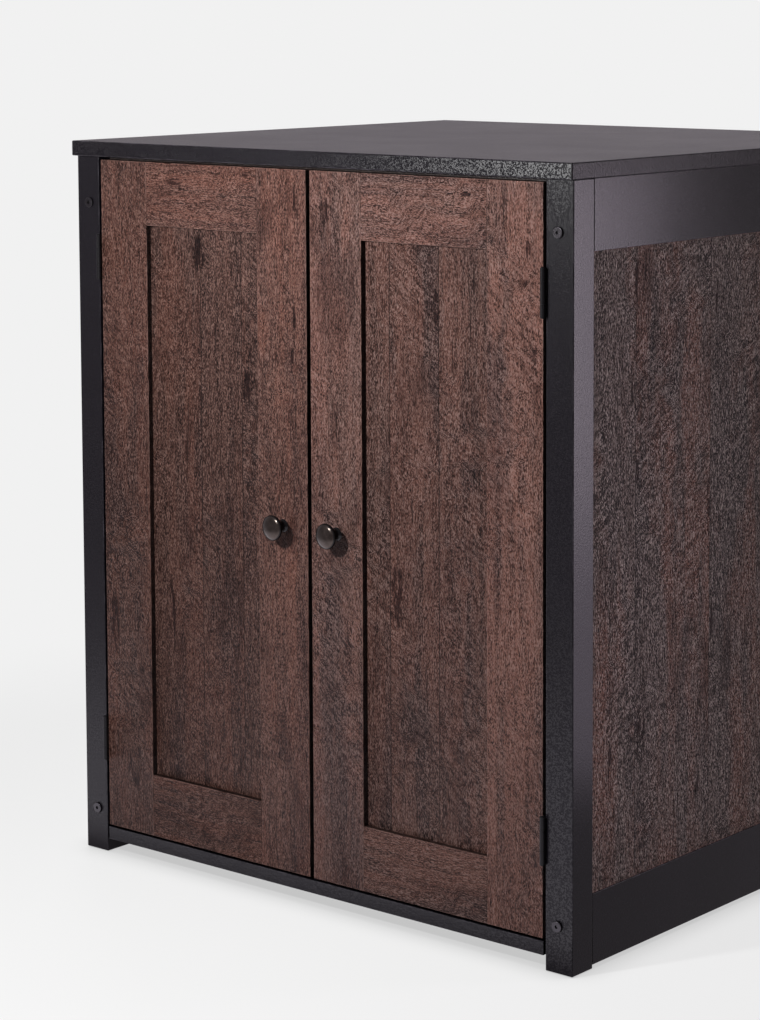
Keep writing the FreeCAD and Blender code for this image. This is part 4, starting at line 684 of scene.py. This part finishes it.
# further off, and in mirrors: the pale background, which sheds little light on the case
pale = coat(tree, path["Is Glossy Ray"], PALE, TINGED)
far = step(tree, "Emission", pale, between(tree, seen, FAR_BOUNCE, 1.0)).outputs[0]
distant = reckon(tree, "MAXIMUM", fade(tree, away, FLOOR_FADES, FLOOR_GONE), mirrored)
ground = step(tree, "MixShader", distant, near, far).outputs[0]

# the pool: a round patch of floor, only in front of the doors and only for glossy faces
forward = step(tree, "SeparateXYZ", place).outputs["Y"]
in_front = fade(tree, forward, POOL_FRONT, POOL_BACK, 1.0, 0.0)
pool = fade(tree, away, POOL_FULL, POOL_GONE, POOL_STRENGTH, 0.0)
pool = reckon(tree, "MULTIPLY", pool, in_front)
pool = reckon(tree, "MULTIPLY", pool, path["Is Glossy Ray"])
pool = step(tree, "Emission", POOL_COLOUR, pool).outputs[0]
ground = step(tree, "AddShader", ground, pool).outputs[0]
tree.links.new(ground, tree.nodes["Material Output"].inputs["Surface"])
floor_mesh.materials.append(pale_floor)

world = bpy.data.worlds.new("studio")
bpy.context.scene.world = world
world.use_nodes = True
tree = world.node_tree
path = step(tree, "LightPath").outputs
seen = reckon(tree, "MAXIMUM", path["Is Camera Ray"], path["Is Glossy Ray"])
seen = reckon(tree, "MAXIMUM", seen, path["Is Transmission Ray"])
ambient = tree.nodes["Background"]
ambient.inputs["Color"].default_value = (1, 1, 1, 1)
ambient.inputs["Strength"].default_value = AMBIENT
pale = coat(tree, path["Is Glossy Ray"], PALE, TINGED)
backdrop = step(tree, "Background", pale, 1.0).outputs[0]
studio = step(tree, "MixShader", seen, ambient.outputs[0], backdrop).outputs[0]
tree.links.new(studio, tree.nodes["World Output"].inputs["Surface"])


# ------------------------------------------------------------------ studio lamps
# A small key lamp in front, a low one far to the left whose sheen falls on the front edge of the
# top, a tall one to the right and behind that lights the right side, a tall dim one close to that
# side which its front post mirrors, and a fill lamp for the left side and the back.
def lamp(name, place, aim, width, height, power, spread=180, colour=(1, 1, 1)):
    """Rectangular soft lamp at a place in metres that points at another; its power is in watts
    and its spread in degrees."""
    data = bpy.data.lights.new(name, "AREA")
    data.shape = "RECTANGLE"
    data.size = width
    data.size_y = height
    data.energy = power
    data.spread = radians(spread)
    data.color = colour
    holder = bpy.data.objects.new(name, data)
    holder.location = place
    holder.rotation_euler = (Vector(aim) - Vector(place)).to_track_quat("-Z", "Y").to_euler()
    bpy.context.scene.collection.objects.link(holder)


lamp("key lamp", place=(-0.075, -1.30, 1.02), aim=(0.05, -0.35, 0.58),
     width=0.08, height=0.08, power=14.2)
lamp("sheen lamp", place=(-1.53, -2.75, 0.76), aim=(-0.05, -0.36, 0.95),
     width=0.46, height=0.16, power=0.124, spread=18)
lamp("side lamp", place=(2.05, 1.45, 0.60), aim=(0.39, 0.0, 0.50),
     width=0.5, height=1.1, power=19, colour=(1.0, 0.87, 0.98))
lamp("window lamp", place=(0.85, 0.165, 0.46), aim=(0.39, -0.354, 0.50),
     width=0.31, height=0.84, power=0.36, spread=50, colour=(0.96, 0.82, 1.0))
lamp("fill lamp", place=(-1.9, 1.3, 0.45), aim=(-0.39, 0.05, 0.45),
     width=0.9, height=0.7, power=6.5, spread=60)


# ------------------------------------------------------------------ camera
# Stands in front and to the right of the doors, a little above the top, and looks down slightly.
# The lens is shifted to the left and down, which brings the whole front into the frame.
FRAME_WIDTH = 760
FRAME_HEIGHT = 1020
FOCUS_X = 470                   # where the camera points, in pixels of the frame
FOCUS_Y = 262
STAND = (2.2137, -2.7826, 1.0927)
LENS = 98.55                    # this and the next in millimetres
SENSOR = 36.0
LOOK_DOWN = 5.41                # this and the next two in degrees
ROLL = 0.089
TURN = 39.008
camera_data = bpy.data.cameras.new("camera")
camera_data.sensor_width = SENSOR
camera_data.lens = LENS
camera_data.shift_x = (FRAME_WIDTH / 2 - FOCUS_X) / FRAME_HEIGHT
camera_data.shift_y = (FOCUS_Y - FRAME_HEIGHT / 2) / FRAME_HEIGHT
camera = bpy.data.objects.new("camera", camera_data)
camera.location = STAND
camera.rotation_euler = (radians(90 - LOOK_DOWN), radians(ROLL), radians(TURN))
bpy.context.scene.collection.objects.link(camera)
bpy.context.scene.camera = camera

bpy.context.scene.view_settings.view_transform = "Standard"
